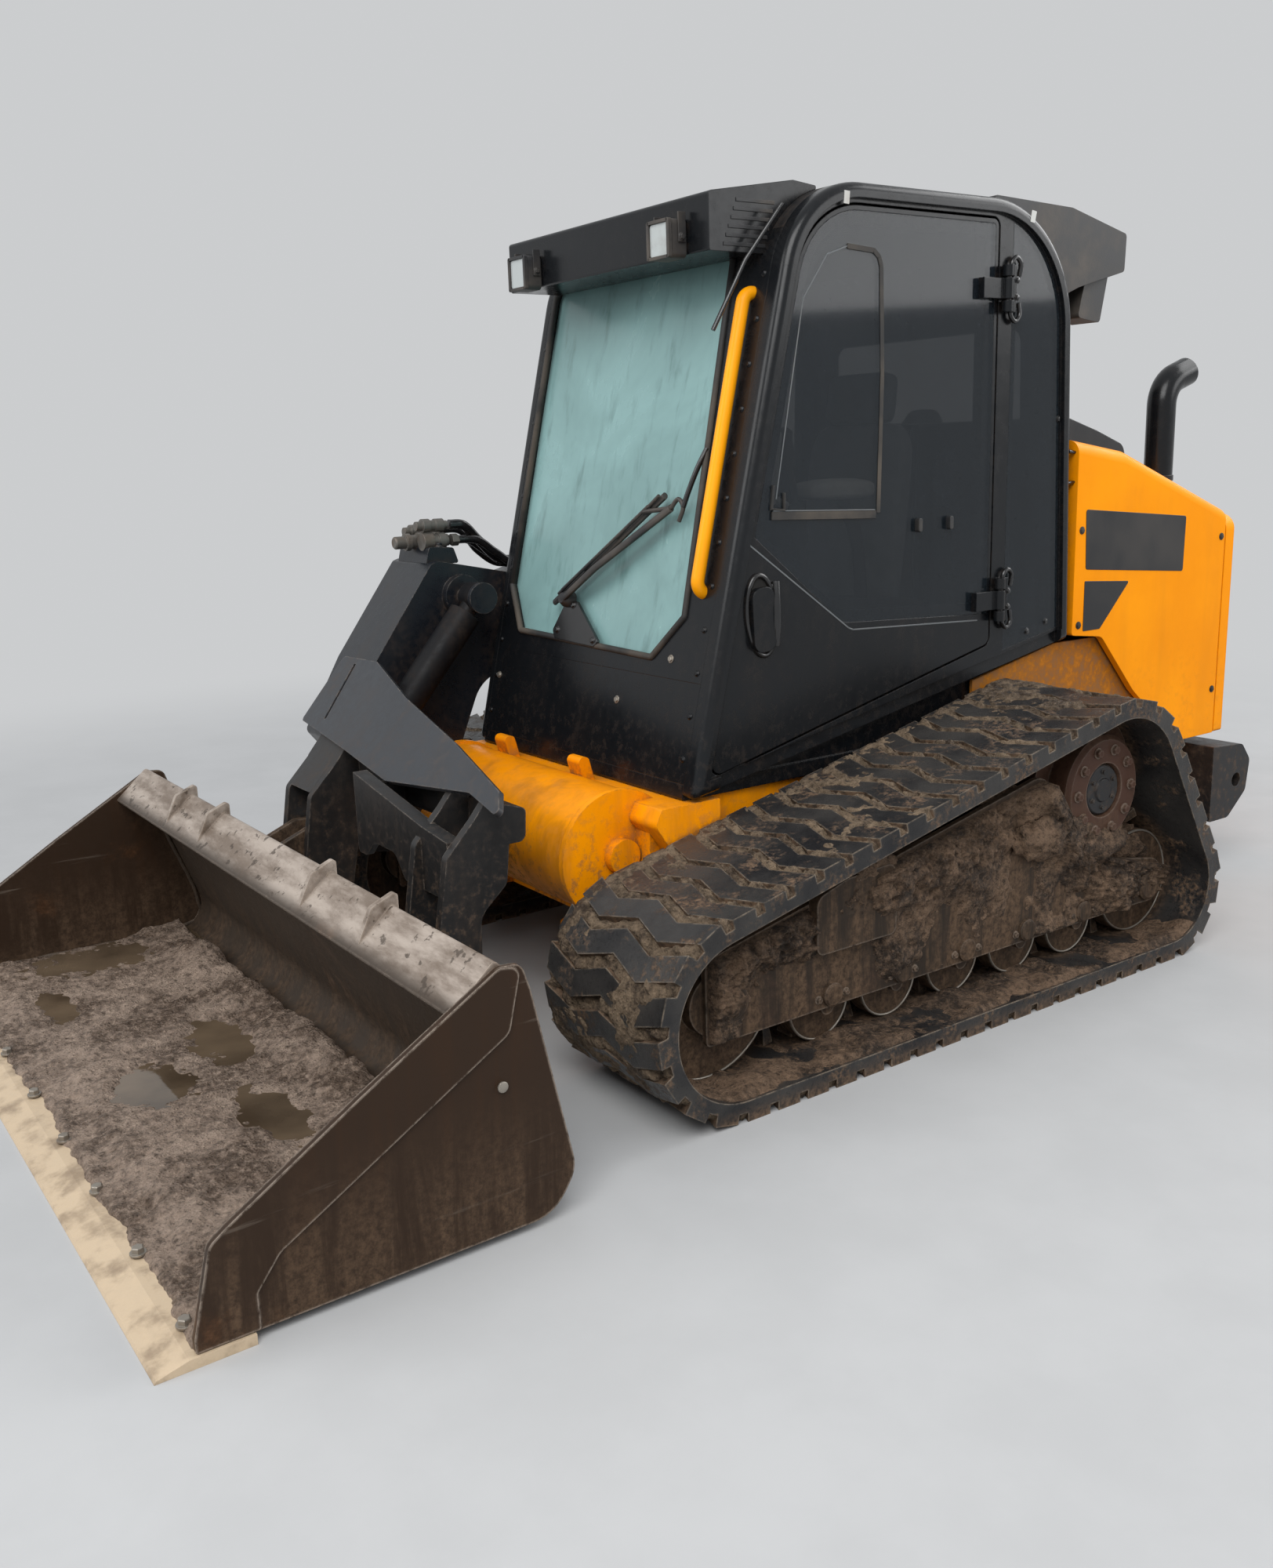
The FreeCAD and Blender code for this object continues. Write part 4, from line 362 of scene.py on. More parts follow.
mats = {
    # name, colour, roughness, coat, grime, splashes from and up to, wear, shine
    # The chassis frame's rear gets more soil, partly as painted shade of the track on its fender.
    "yellow": paint("paint_yellow", YELLOW, 0.34, 0.05, 0.75, 0.3, 0.74, 0.4, 0.1, (0.10, 0.05, 0.02), 0.45),
    "yellow_body": paint("paint_yellow_body", YELLOW, 0.36, 0.0, 0.14, 0.45, 0.95, 0.0, 0.07),
    "yellow_rail": paint("paint_yellow_rail", (0.97, 0.36, 0.0015), 0.36, 0.04, 0.1, 0.4, 1.0, 0.0, 0.2),
    "black": paint("paint_black", BLACK, 0.24, 0.0, 0.12, 0.5, 1.0, 0.0, 0.32),
    "black_top": paint("paint_black_top", (0.010, 0.0105, 0.0115), 0.62, 0.0, 0.3, 1.6, 2.2, 0.0, 0.3),
    "black_low": paint("paint_black_low", (0.012, 0.012, 0.013), 0.4, 0.0, 0.45, 0.1, 1.0, 0.25, 0.3),
    "boom": paint("paint_boom", (0.0085, 0.0105, 0.014), 0.3, 0.0, 0.3, 0.2, 0.9, 0.35, 0.42),
    "grey": paint("paint_grey", DARK_GREY, 0.4, 0.0, 0.5, 0.3, 0.9, 0.5, 0.4),
    "grey_low": paint("paint_grey_low", (0.016, 0.0155, 0.0155), 0.42, 0.0, 0.5, 0.3, 0.7, 0.5, 0.34),
    "barrel": paint("paint_barrel", (0.006, 0.006, 0.007), 0.5, 0.0, 0.35, 0.1, 0.9, 0.1, 0.14),
    "gloss": paint("black_gloss", (0.009, 0.009, 0.0095), 0.2, 0.3, 0.12, 0.5, 1.0, 0.0),
    "iron": paint("cast_iron", (0.05, 0.05, 0.052), 0.6, 0.0, 0.4, 0.4, 1.2, 0.2),
    "rubber": tyre_rubber("track_rubber"),
    # name, paint, rust, paint left, mud, caked from and up to, shine, bare steel and painted sheen above
    "muddy": scraped_steel("muddy_steel", (0.024, 0.017, 0.012), (0.05, 0.03, 0.02), 0.3, 0.9, 0.3, 0.8, 0.12),
    # The shell's paint and rust are lighter than the side plates' to paint the wet sheen of its inner wall.
    "bucket": scraped_steel("bucket_steel", (0.050, 0.038, 0.029), (0.105, 0.068, 0.046), 0.1, 0.6, 0.0, 0.34,
                            0.4, 0.475),
    "bucket_side": scraped_steel("bucket_side_steel", (0.030, 0.017, 0.010), RUST, 0.1, 0.7, 0.0, 0.34, 0.3),
    "hub": scraped_steel("hub_steel", (0.06, 0.028, 0.018), (0.12, 0.048, 0.03), 0.2, 0.5, 0.3, 0.7, 0.12),
    # name, colour, roughness, metal, grime
    "edge": bright_metal("worn_edge", (0.56, 0.435, 0.295), 0.45, 0.2, 0.6),
    "ring": bright_metal("worn_ring", (0.30, 0.27, 0.23), 0.35, 0.7, 0.45),
    "chrome": bright_metal("chrome_rod", (0.72, 0.72, 0.74), 0.12, 1.0, 0.12),
    "coupler": bright_metal("coupler_steel", (0.16, 0.15, 0.135), 0.4, 0.7, 0.5),
    "lens": bright_metal("lamp_lens", (0.50, 0.53, 0.52), 0.12, 0.2, 0.35),
    # name, colour, opacity, film of dust and painted sky reflection, the film's colour, streaks
    # The windscreen's pale teal film is mostly a painted reflection of the sky.
    "screen": tinted("windscreen_glass", (0.06, 0.115, 0.108), 0.84, 1.0, (0.235, 0.39, 0.38), 0.45),
    "glass": tinted("tinted_glass", (0.006, 0.009, 0.012), 0.57, 0.12, (0.08, 0.10, 0.12), 0.05),
    # name, colour, roughness, grains per metre, grime
    "plastic": moulded("black_plastic", (0.018, 0.018, 0.019)),
    "pale_plastic": moulded("grey_plastic", (0.52, 0.52, 0.49), 0.55, 300.0, 0.3),
    "seal": moulded("rubber_seal", (0.012, 0.012, 0.012), 0.7),
    "decal": moulded("black_film", (0.007, 0.007, 0.008), 0.36, 400.0, 0.06),
    # Pale bluish lines that paint highlights on the door's edges and crease.
    "highlight_line": moulded("painted_highlight_trim", (0.10, 0.11, 0.115), 0.4, 300.0, 0.1),
    "tape": moulded("pale_tape", (0.55, 0.55, 0.52), 0.6, 300.0, 0.4),
    # Matte black, used as soot and as painted shade in the handle's cup and the exhaust's opening.
    "soot_and_shade": moulded("soot_and_shade", (0.006, 0.006, 0.006), 0.9, 200.0, 0.05),
    "seat": cloth("seat_fabric", (0.20, 0.20, 0.195)),
    "pale_cloth": cloth("pale_cloth", (0.42, 0.41, 0.38)),
    # name, light and dark colour, damp patches, roughness
    "mud": earth("mud", (0.165, 0.105, 0.066), MUD_DARK),
    "belt_mud": earth("belt_mud", (0.185, 0.133, 0.086), (0.048, 0.032, 0.021), 0.5),
    "soil": earth("bucket_soil", (0.31, 0.232, 0.178), (0.10, 0.068, 0.048), 1.0, 0.5),
    "water": still_water("puddle_water"),
}

NODE_MATERIALS = {
    "yellow": "chassis_frame",
    "yellow_body": "engine_hood rear_door",
    "yellow_rail": "grab_handle",
    "black": "cab_side_left cab_side_right cab_front_panel windscreen_frame cab_rear_wall cab_floor "
             "roof_visor cab_door exhaust_stack",
    "black_low": "rear_bumper lift_barrel",
    "barrel": "tilt_barrel",
    "black_top": "cab_roof",
    "boom": "boom_tower boom_arm",
    "grey": "front_guard",
    "grey_low": "headstock",
    "rubber": "track_belt_left track_belt_right",
    "muddy": "track_wheels_left track_wheels_right track_frame_left track_frame_right quick_hitch",
    "hub": "drive_sprocket_left drive_sprocket_right",
    "bucket": "bucket_shell",
    "bucket_side": "bucket_sides",
    "edge": "cutting_edge",
    "screen": "windscreen",
    "glass": "rear_window door_glass quarter_window right_window",
    "plastic": "roof_rear_box rear_lamp control_consoles hood_cover",
    "seat": "driver_seat",
    "chrome": "lift_rod tilt_rod",
    "iron": "engine_block radiator",
    "coupler": "aux_couplers",
    "lens": "front_lamps",
}


def dress_nodes():
    for key, names in NODE_MATERIALS.items():
        for name in names.split():
            for slot in nodes[name].material_slots:
                slot.material = mats[key]


# Floor and backdrop

BACKDROP = (0.60, 0.61, 0.62)
FLOOR_HALF = 80.0
FADE_START, FADE_END = 2.7, 6.5


def make_stage():
    """Grey floor that fades into the backdrop, and a pale sky that only lights."""
    low, high = -FLOOR_HALF, FLOOR_HALF
    mesh = bpy.data.meshes.new("floor")
    mesh.from_pydata([(low, low, 0), (high, low, 0), (high, high, 0), (low, high, 0)], [], [(0, 1, 2, 3)])
    floor = bpy.data.objects.new("floor", mesh)
    bpy.context.collection.objects.link(floor)
    s = Shader("floor")
    grain = s.step(s.noise(3.0, 6.0, 0.6), 0.3, 0.7)
    s.set(Base_Color=s.mixed(grain, (0.40, 0.40, 0.397), (0.425, 0.425, 0.422)), Roughness=0.85)
    away = s.filled(s.node("ShaderNodeVectorMath", {"operation": "LENGTH"}), 0, (s.place,), "Value")
    far = s.times(s.step(away, FADE_START, FADE_END), s.seen())
    plain = s.node("ShaderNodeEmission", Color=BACKDROP).outputs[0]
    s.put(s.end, s.filled(s.node("ShaderNodeMixShader"), 0, (far, s.surface.outputs[0], plain), 0))
    mesh.materials.append(s.material)

    world = bpy.data.worlds.new("world")
    bpy.context.scene.world = world
    world.use_nodes = True
    s.tree = world.node_tree
    s.tree.nodes.clear()
    sky = s.node("ShaderNodeBackground", Color=(0.90, 0.94, 1.0), Strength=0.72).outputs[0]
    shown = s.node("ShaderNodeBackground", Color=BACKDROP, Strength=1.0).outputs[0]
    mix = s.filled(s.node("ShaderNodeMixShader"), 0, (s.seen(), sky, shown), 0)
    s.node("ShaderNodeOutputWorld", Surface=mix)
    bpy.context.scene.view_settings.view_transform = "Standard"


# Mesh building

def rounded_loop(rows, steps=5):
    """Corner points of a closed outline. Each row is u, v and the corner's radius."""
    points = []
    for index, (u, v, radius) in enumerate(rows):
        here = Vector((u, v))
        before = (Vector(rows[index - 1][:2]) - here).normalized()
        after = (Vector(rows[(index + 1) % len(rows)][:2]) - here).normalized()
        if radius <= 0:
            points.append(here)
            continue
        half = before.angle(after) / 2
        start = here + before * radius / math.tan(half)
        end = here + after * radius / math.tan(half)
        centre = here + (before + after).normalized() * radius / math.sin(half)
        for step in range(steps + 1):
            spot = start.lerp(end, step / steps) - centre
            points.append(centre + spot.normalized() * radius)
    return points


def rectangle(u0, u1, v0, v1, radius=0):
    return ((u0, v0, radius), (u0, v1, radius), (u1, v1, radius), (u1, v0, radius))


def circle(count, shift=0):
    """Cosine and sine of count angles spread over a full turn."""
    angles = [2 * math.pi * (index + shift) / count for index in range(count)]
    return [(math.cos(angle), math.sin(angle)) for angle in angles]


def add_skin(bm, rings):
    """Closed tube over rings of vertices."""
    for ring, following in zip(rings, rings[1:]):
        for index in range(len(ring)):
            nxt = (index + 1) % len(ring)
            bm.faces.new((ring[index], ring[nxt], following[nxt], following[index]))
    bm.faces.new(rings[0][::-1])
    bm.faces.new(rings[-1])


def add_prism(bm, points, shift):
    """Closed prism from a loop of 3-D points, moved by shift."""
    add_skin(bm, [[bm.verts.new(point) for point in points], [bm.verts.new(point + shift) for point in points]])


def add_side_plate(bm, rows, x0, x1):
    add_prism(bm, [at(x0, u, v) for u, v in rounded_loop(rows)], Vector(((x1 - x0) / 1000, 0, 0)))


def add_front_plate(bm, rows, y0, y1):
    add_prism(bm, [at(u, y0, v) for u, v in rounded_loop(rows)], Vector((0, (y1 - y0) / 1000, 0)))


def add_top_plate(bm, rows, z0, height):
    add_prism(bm, [at(u, v, z0) for u, v in rounded_loop(rows)], Vector((0, 0, height / 1000)))


def add_box(bm, x0, x1, y0, y1, z0, z1):
    rows = ((x0, z0, 0), (x1, z0, 0), (x1, z1, 0), (x0, z1, 0))
    add_front_plate(bm, rows, y0, y1)


def add_turned(bm, start, axis, rows, sides=32):
    """Solid of revolution from start along axis. Rows are distance and radius in millimetres."""
    axis = Vector(axis).normalized()
    side = axis.orthogonal().normalized()
    other = axis.cross(side).normalized()
    rings = []
    for distance, radius in rows:
        centre = start + axis * distance / 1000
        rings.append([bm.verts.new(centre + (side * u + other * v) * radius / 1000) for u, v in circle(sides)])
    add_skin(bm, rings)


def add_bolt(bm, place, axis, across, height, washer=True):
    """Hexagon head, on a washer or without one."""
    if washer:
        add_turned(bm, place, axis, ((-2, across * 0.72), (across * 0.12, across * 0.72)), 20)
    add_turned(bm, place, axis, ((-1, across * 0.56), (height * 0.85, across * 0.56), (height, across * 0.46)), 6)


def smooth_path(points, steps=6):
    """Points along a Catmull-Rom curve through the given points."""
    ends = [points[0] * 2 - points[1]] + list(points) + [points[-1] * 2 - points[-2]]
    path = []
    for index in range(1, len(ends) - 2):
        a, b, c, d = ends[index - 1:index + 3]
        for step in range(steps):
            t = step / steps
            path.append(0.5 * (b * 2 + (c - a) * t + (a * 2 - b * 5 + c * 4 - d) * t ** 2
                               + (b * 3 - a - c * 3 + d) * t ** 3))
    path.append(points[-1])
    return path


def add_sweep(bm, path, radius, sides=14, flat=1.0):
    """Closed tube along a path of 3-D points. Radius is in millimetres."""
    normal = None
    rings = []
    for index, point in enumerate(path):
        ahead = path[min(index + 1, len(path) - 1)] - path[max(index - 1, 0)]
        ahead.normalize()
        if normal is None:
            normal = ahead.orthogonal().normalized()
        normal = (normal - ahead * normal.dot(ahead)).normalized()
        other = ahead.cross(normal)
        rings.append([bm.verts.new(point + (normal * u + other * v * flat) * radius / 1000)
                      for u, v in circle(sides)])
    add_skin(bm, rings)


def add_grid(bm, columns, rows, place, wrap=False):
    """Grid of faces. place turns column and row, both from 0 to 1, into a point."""
    width = columns if wrap else columns + 1
    grid = [[bm.verts.new(place(column / columns, row / rows)) for column in range(width)]
            for row in range(rows + 1)]
    for line, following in zip(grid, grid[1:]):
        for column in range(columns):
            nxt = (column + 1) % width
            bm.faces.new((line[column], line[nxt], following[nxt], following[column]))


def roughness(point, scale, seed=0.0):
    """Fractal noise, about 0 to 1, at a point in metres."""
    return 0.5 + 0.5 * noise.fractal(point * scale + Vector((seed, seed * 0.7, -seed)), 0.9, 2.1, 5)


def within(low, value, high):
    return max(low, min(high, value))


def hump(distance, power=2):
    return math.exp(-distance ** power)


def finish_piece(name, bm, material, bevel=0.0, body="machine", angle=32.0, segments=2):
    """Makes the mesh one object with its material and rounding, and lets it ride its body."""
    bmesh.ops.recalc_face_normals(bm, faces=bm.faces)
    mesh = bpy.data.meshes.new(name)
    bm.to_mesh(mesh)
    bm.free()
    piece = bpy.data.objects.new(name, mesh)
    bpy.context.collection.objects.link(piece)
    mesh.materials.append(mats[material])
    mesh.shade_smooth()
    mesh.set_sharp_from_angle(angle=math.radians(angle))
    if bevel:
        rounding = piece.modifiers.new("rounding", "BEVEL")
        rounding.width = bevel / 1000
        rounding.segments = segments
        rounding.limit_method = "ANGLE"
        rounding.angle_limit = math.radians(30)
        rounding.harden_normals = True
    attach(piece, body)
    return piece


# Tracks. Wheels are y, z and radius.

TRACK_IN, TRACK_OUT = 550.0, 1000.0
LUG, BAND = 22.0, 28.0
LUG_PITCH, LUG_SHIFT = 88.0, 18.0
SPROCKET = (312.0, 520.0)
ROLLERS = [(-662.0 + 233.0 * index, 145.0, 95.0) for index in range(5)]
IDLERS = [(-1000.0, 240.0, 190.0), (558.0, 200.0, 150.0)]
BELT_WHEELS = [(y, z, radius + LUG + BAND) for y, z, radius in IDLERS] + [(*SPROCKET, 256.0)]
HUB_FACE, FRAME_FACE, RIM_FACE = 922.0, 900.0, 852.0
FRAME_FRONT, FRAME_REAR, FRAME_LOW = -1034, 614, 156
FRAME_TOP = ((-1040, 358), (90, 588), (240, 360), (620, 255))
MUD_HEAPS = (
    # x, y, z, half length along x, y and z
    (770, -430, 470, 110, 230, 26),
    (780, -60, 545, 110, 170, 30),
    (905, 120, 430, 42, 170, 62),
    (900, 300, 372, 40, 150, 55),
    (770, 520, 300, 110, 130, 60),
    (905, -560, 470, 30, 120, 30),
)


def belt_line(shrink):
    """Closed line of the belt, as a function of a share of its length: point and outward, y and z."""
    wheels = [(Vector((y, z)), radius - shrink) for y, z, radius in BELT_WHEELS]
    pairs = list(zip(wheels, wheels[1:] + wheels[:1]))
    outs = []
    for (centre, radius), (following, next_radius) in pairs:
        way = following - centre
        share = (radius - next_radius) / way.length
        way.normalize()
        outs.append(way * share + Vector((way.y, -way.x)) * math.sqrt(1 - share * share))
    parts = []
    for ((centre, radius), (following, next_radius)), out, after in zip(pairs, outs, outs[1:] + outs[:1]):
        start = centre + out * radius
        end = following + out * next_radius
        parts.append(("run", start, end, out, (end - start).length))
        angle = math.atan2(out.y, out.x)
        turn = (math.atan2(after.y, after.x) - angle) % (2 * math.pi)
        parts.append(("arc", following, next_radius, angle, turn * next_radius))
    total = sum(part[4] for part in parts)

    def spot(share):
        left = (share % 1.0) * total
        for kind, first, second, third, length in parts:
            if left <= length:
                if kind == "run":
                    return first.lerp(second, left / length), third
                angle = third + left / second
                away = Vector((math.cos(angle), math.sin(angle)))
                return first + away * second, away
            left -= length
        return parts[0][1], parts[0][3]

    return spot, total


def belt_x(row, margin):
    return TRACK_IN + margin + (TRACK_OUT - TRACK_IN - 2 * margin) * row


def packed_mud(word, side):
    """Soil between the lugs, squeezed out into crumbs along their zigzag edges."""
    spot, total = belt_line(LUG)
    count = round(total / LUG_PITCH)

    def place(column, row):
        (y, z), out = spot(column)
        x = belt_x(row, 3)
        base = at(side * x, y, z)
        zigzag = LUG_SHIFT * (4 * abs((2 * row) % 1 - 0.5) - 1)
        from_groove = ((column * count + zigzag * count / total + 0.5) % 1 - 0.5) * total / count
        grain = roughness(base, 45.0, 8.0)
        crumb = within(0.0, (roughness(base, 24.0, 5.5) - 0.3) * 2.6, 1.0)
        lump = roughness(base, 9.0, 3.1 + side) * 16 + 2 + (grain - 0.5) * 12
        ridge = 21 * hump(from_groove / 17, 4) * crumb * (0.6 + grain * 0.8)
        over = 13 * within(0.0, (roughness(base, 5.0, 1.3) - 0.62) * 9, 1.0)
        if out.y > 0.5:
            over = max(over, 12 * hump((x - TRACK_IN) / 70, 4) * (0.5 + roughness(base, 12.0, 6.6)))
        lump = max(min(lump + over, 14.5 + over), min(ridge + 6, 27.0))
        if row in (0.0, 1.0):
            lump = -4.0
        return at(side * x, y + out.x * lump, max(0.8, z + out.y * lump))

    bm = bmesh.new()
    add_grid(bm, int(total / 5.5), 56, place, wrap=True)
    finish_piece("belt_mud_" + word, bm, "belt_mud", angle=180)


def belt_inside(word, side):
    """Smears of soil on the belt's inner face, thick on its lower run."""
    spot, total = belt_line(LUG + BAND)

    def place(column, row):
        (y, z), out = spot(column)
        x = belt_x(row, 4)
        base = at(side * x, y, z)
        low = 1.0 if out.y < -0.8 else 0.1
        lump = (roughness(base, 7.0, 1.7 + side) - 0.42) * 52 * low + (roughness(base, 38.0, 5.0) - 0.5) * 8
        lump = within(-4.0, lump - 5 * (1 - low), 20.0)
        if row in (0.0, 1.0):
            lump = -4.0
        return at(side * x, y - out.x * lump, z - out.y * lump)

    bm = bmesh.new()
    add_grid(bm, int(total / 15), 30, place, wrap=True)
    finish_piece("belt_inner_mud_" + word, bm, "mud", angle=180)


def frame_top(y):
    for (y0, z0), (y1, z1) in zip(FRAME_TOP, FRAME_TOP[1:]):
        if y0 <= y <= y1:
            return z0 + (z1 - z0) * (y - y0) / (y1 - y0)


def frame_mud(word, side):
    """Soil caked on the outer plate of the track frame."""

    def place(column, row):
        y = FRAME_FRONT + (FRAME_REAR - FRAME_FRONT) * column
        top = frame_top(y)
        z = FRAME_LOW + (top - 162) * row
        base = at(side * FRAME_FACE, y, z)
        grit = roughness(base, 24.0, 2.0) - 0.5
        crumbs = roughness(base, 70.0, 5.0) - 0.5
        high = hump((z - top + 40) / 95)
        thick = (roughness(base, 4.2, 6.0 + side) - 0.6 + 0.38 * high) * 90
        thick += (grit * 30 + crumbs * 20) * (0.25 + high)
        if row in (0.0, 1.0) or column in (0.0, 1.0):
            thick = -6.0
        return at(side * (FRAME_FACE + within(-6.0, thick, 46.0)), y, z)

    bm = bmesh.new()
    add_grid(bm, 250, 76, place)
    finish_piece("frame_mud_" + word, bm, "mud", angle=180)


def mud_heaps(word, side):
    """Clods of soil on the track frame and between it and the machine."""
    bm = bmesh.new()
    for index, (x, y, z, dx, dy, dz) in enumerate(MUD_HEAPS):
        centre, seed = at(side * x, y, z), index * 3.7 + side
        for vert in bmesh.ops.create_icosphere(bm, subdivisions=4, radius=1.0)["verts"]:
            way = vert.co.copy()
            spread = Vector((way.x * dx, way.y * dy, way.z * dz)) / 1000
            spot = centre + spread
            swell = 0.7 + 0.5 * roughness(spot, 13.0, seed) + 0.34 * (roughness(spot, 48.0, seed) - 0.5)
            vert.co = centre + spread * swell
    finish_piece("mud_heaps_" + word, bm, "mud", angle=180)


def hub_bolts(word, side):
    """Ring of bolts and the hub's own raised cover."""
    face = at(side * HUB_FACE, *SPROCKET)
    out = Vector((side, 0, 0))
    bm = bmesh.new()
    for u, v in circle(10):
        add_bolt(bm, face + Vector((0, u, v)) * 0.112, out, 22, 13)
    finish_piece("hub_bolts_" + word, bm, "hub", 1.0)
    bm = bmesh.new()
    add_turned(bm, face - out * 0.018, out, ((-2, 69), (9, 69), (13, 64), (13, 34), (18, 30)), 36)
    for u, v in circle(6, 0.5):
        add_bolt(bm, face - out * 0.006 + Vector((0, u, v)) * 0.049, out, 11, 7, False)
    finish_piece("hub_centre_" + word, bm, "black_low", 1.0)


def axle_caps(word, side):
    """Caps and bolts at the ends of the rollers' and idlers' axles, on the frame's plate."""
    bm = bmesh.new()
    out = Vector((side, 0, 0))
    seat = side * (FRAME_FACE - 3)
    for y, z, _ in ROLLERS:
        add_turned(bm, at(seat, y, z + 36), out, ((0, 30), (10, 30), (14, 24)), 24)
        for shift in (-44, 44):
            add_bolt(bm, at(side * FRAME_FACE, y + shift, z + 32), out, 15, 9)
    for (y, z, _), shift in zip(IDLERS, (30, 0)):
        add_turned(bm, at(seat, y + shift, z), out, ((0, 46), (12, 46), (18, 38)), 32)
    finish_piece("axle_caps_" + word, bm, "muddy", 1.5)


def wheel_rims(word, side):
    """Polished running edges of the rollers and idlers."""
    bm = bmesh.new()
    for y, z, radius in ROLLERS + IDLERS:
        rim = [at(side * RIM_FACE, y + (radius - 3) * u, z + (radius - 3) * v) for u, v in circle(48)]
        add_sweep(bm, rim + [rim[0]], 3.2, 6)
    finish_piece("wheel_rims_" + word, bm, "ring", angle=180)


# Bucket

SOIL_HALF, SOIL_FRONT, SOIL_REAR = 1072, -2275, -1610
BUCKET_FLOOR, LIP = 32.0, 20.0
WATER_LEVEL = 37.5
PUDDLES = (
    # x, y, half length along x and y
    (-985, -1850, 150, 230),
    (-95, -1805, 170, 75),
    (50, -2020, 120, 85),
    (365, -1850, 150, 60),
    (-620, -2080, 120, 40),
)


def soil_height(x, y):
    """Top of the soil in the bucket, in millimetres from the ground."""
    base = at(x, y, 30)
    slope = within(0.0, (y + 2205) / 55, 1.0)
    floor = LIP + (BUCKET_FLOOR - LIP) * slope * slope * (3 - 2 * slope)
    height = 4 + roughness(base, 3.0, 4.0) * 13 + (roughness(base, 22.0, 9.0) - 0.5) * 15
    height += (roughness(base, 80.0, 3.0) - 0.5) * 5
    height += 34 * hump((y + 1640) / 95) * roughness(base, 5.0, 2.0) * 1.6
    height += 22 * hump((abs(x) - SOIL_HALF) / 60) * roughness(base, 6.0, 7.0)
    for px, py, dx, dy in PUDDLES:
        height -= 15 * hump(((x - px) / dx) ** 2 + ((y - py) / dy) ** 2)
    shore = -2263 + (roughness(at(x, 0, 0), 6.0, 2.2) - 0.5) * 44
    covered = within(0.0, (y - shore) / 18, 1.0)
    return floor + max(height, 2.5) * covered - 12 * (1 - covered)


def bucket_mud():
    """Wet soil left on the bucket's floor, deepest in its back corner, with puddles."""

    def place(column, row):
        x = -SOIL_HALF + 2 * SOIL_HALF * column
        y = SOIL_FRONT + (SOIL_REAR - SOIL_FRONT) * row
        edge = 6 if column in (0.0, 1.0) or row == 1.0 else 0
        return at(x, y, soil_height(x, y) - edge)

    bm = bmesh.new()
    add_grid(bm, 300, 100, place)
    finish_piece("bucket_soil", bm, "soil", body="bucket", angle=180)
    bm = bmesh.new()
    for px, py, dx, dy in PUDDLES:
        bm.faces.new([bm.verts.new(at(max(-SOIL_HALF - 1, px + dx * 1.25 * u), py + dy * 1.25 * v, WATER_LEVEL))
                      for u, v in circle(40)])
    finish_piece("bucket_puddles", bm, "water", body="bucket")


def bucket_bolts():
    """Bolts of the cutting edge and plugs in the side plates."""
    bm = bmesh.new()
    for x in (-1000, -707, -413, -117, 166, 440, 725, 1000):
        add_bolt(bm, at(x, -2252, 26), Vector((0, 0, 1)), 22, 14)
    finish_piece("edge_bolts", bm, "ring", 0.8, "bucket")
    bm = bmesh.new()
    for side in (-1, 1):
        add_turned(bm, at(side * 1088, -1661, 318), Vector((side, 0, 0)), ((0, 11), (3, 11), (5, 7)), 20)
    finish_piece("side_plugs", bm, "ring", 0.4, "bucket")


def bucket_welds():
    """Weld beads along the side plates."""
    bm = bmesh.new()
    for x in (-SOIL_HALF, SOIL_HALF):
        runs = ((-2150, 36), (-1600, 40), (-1545, 120), (-1612, 330), (-1640, 430))
        path = smooth_path([at(x, y, z) for y, z in runs], 12)
        path = [point + Vector((0, 0, 0.0015 * math.sin(index * 2.4))) for index, point in enumerate(path)]
        add_sweep(bm, path, 6, 8)
    finish_piece("weld_beads", bm, "bucket", body="bucket", angle=180)


# Cab

SCREEN_LOW, SCREEN_HIGH = (-795.0, 600.0), (-438.0, 2070.0)  # y and z at the front face's ends
SCREEN_OUT = Vector((0, -1470, 357)).normalized()
LAMP_X, LAMP_LOW, LAMP_HIGH = 332, 1894, 1984
WIPER_PIVOT = (-140, 1048)
DOOR_FACE = 540.0
HANDLE = (-564, 1043)
WINDOW_REAR = ((-164, 1274), (-154, 1614), (-160, 1880), (-168, 1900), (-186, 1914), (-276, 1920))
WINDOW_FRONT = ((-512, 1324), (-466, 1565), (-421, 1794), (-343, 1898), (-276, 1920))
ARM_REST_X = 372


def on_screen(x, z, out=0.0):
    """Point on the cab's front face, out millimetres in front of it."""
    share = (z - SCREEN_LOW[1]) / (SCREEN_HIGH[1] - SCREEN_LOW[1])
    y = SCREEN_LOW[0] + share * (SCREEN_HIGH[0] - SCREEN_LOW[0])
    return at(x, y, z) + SCREEN_OUT * out / 1000


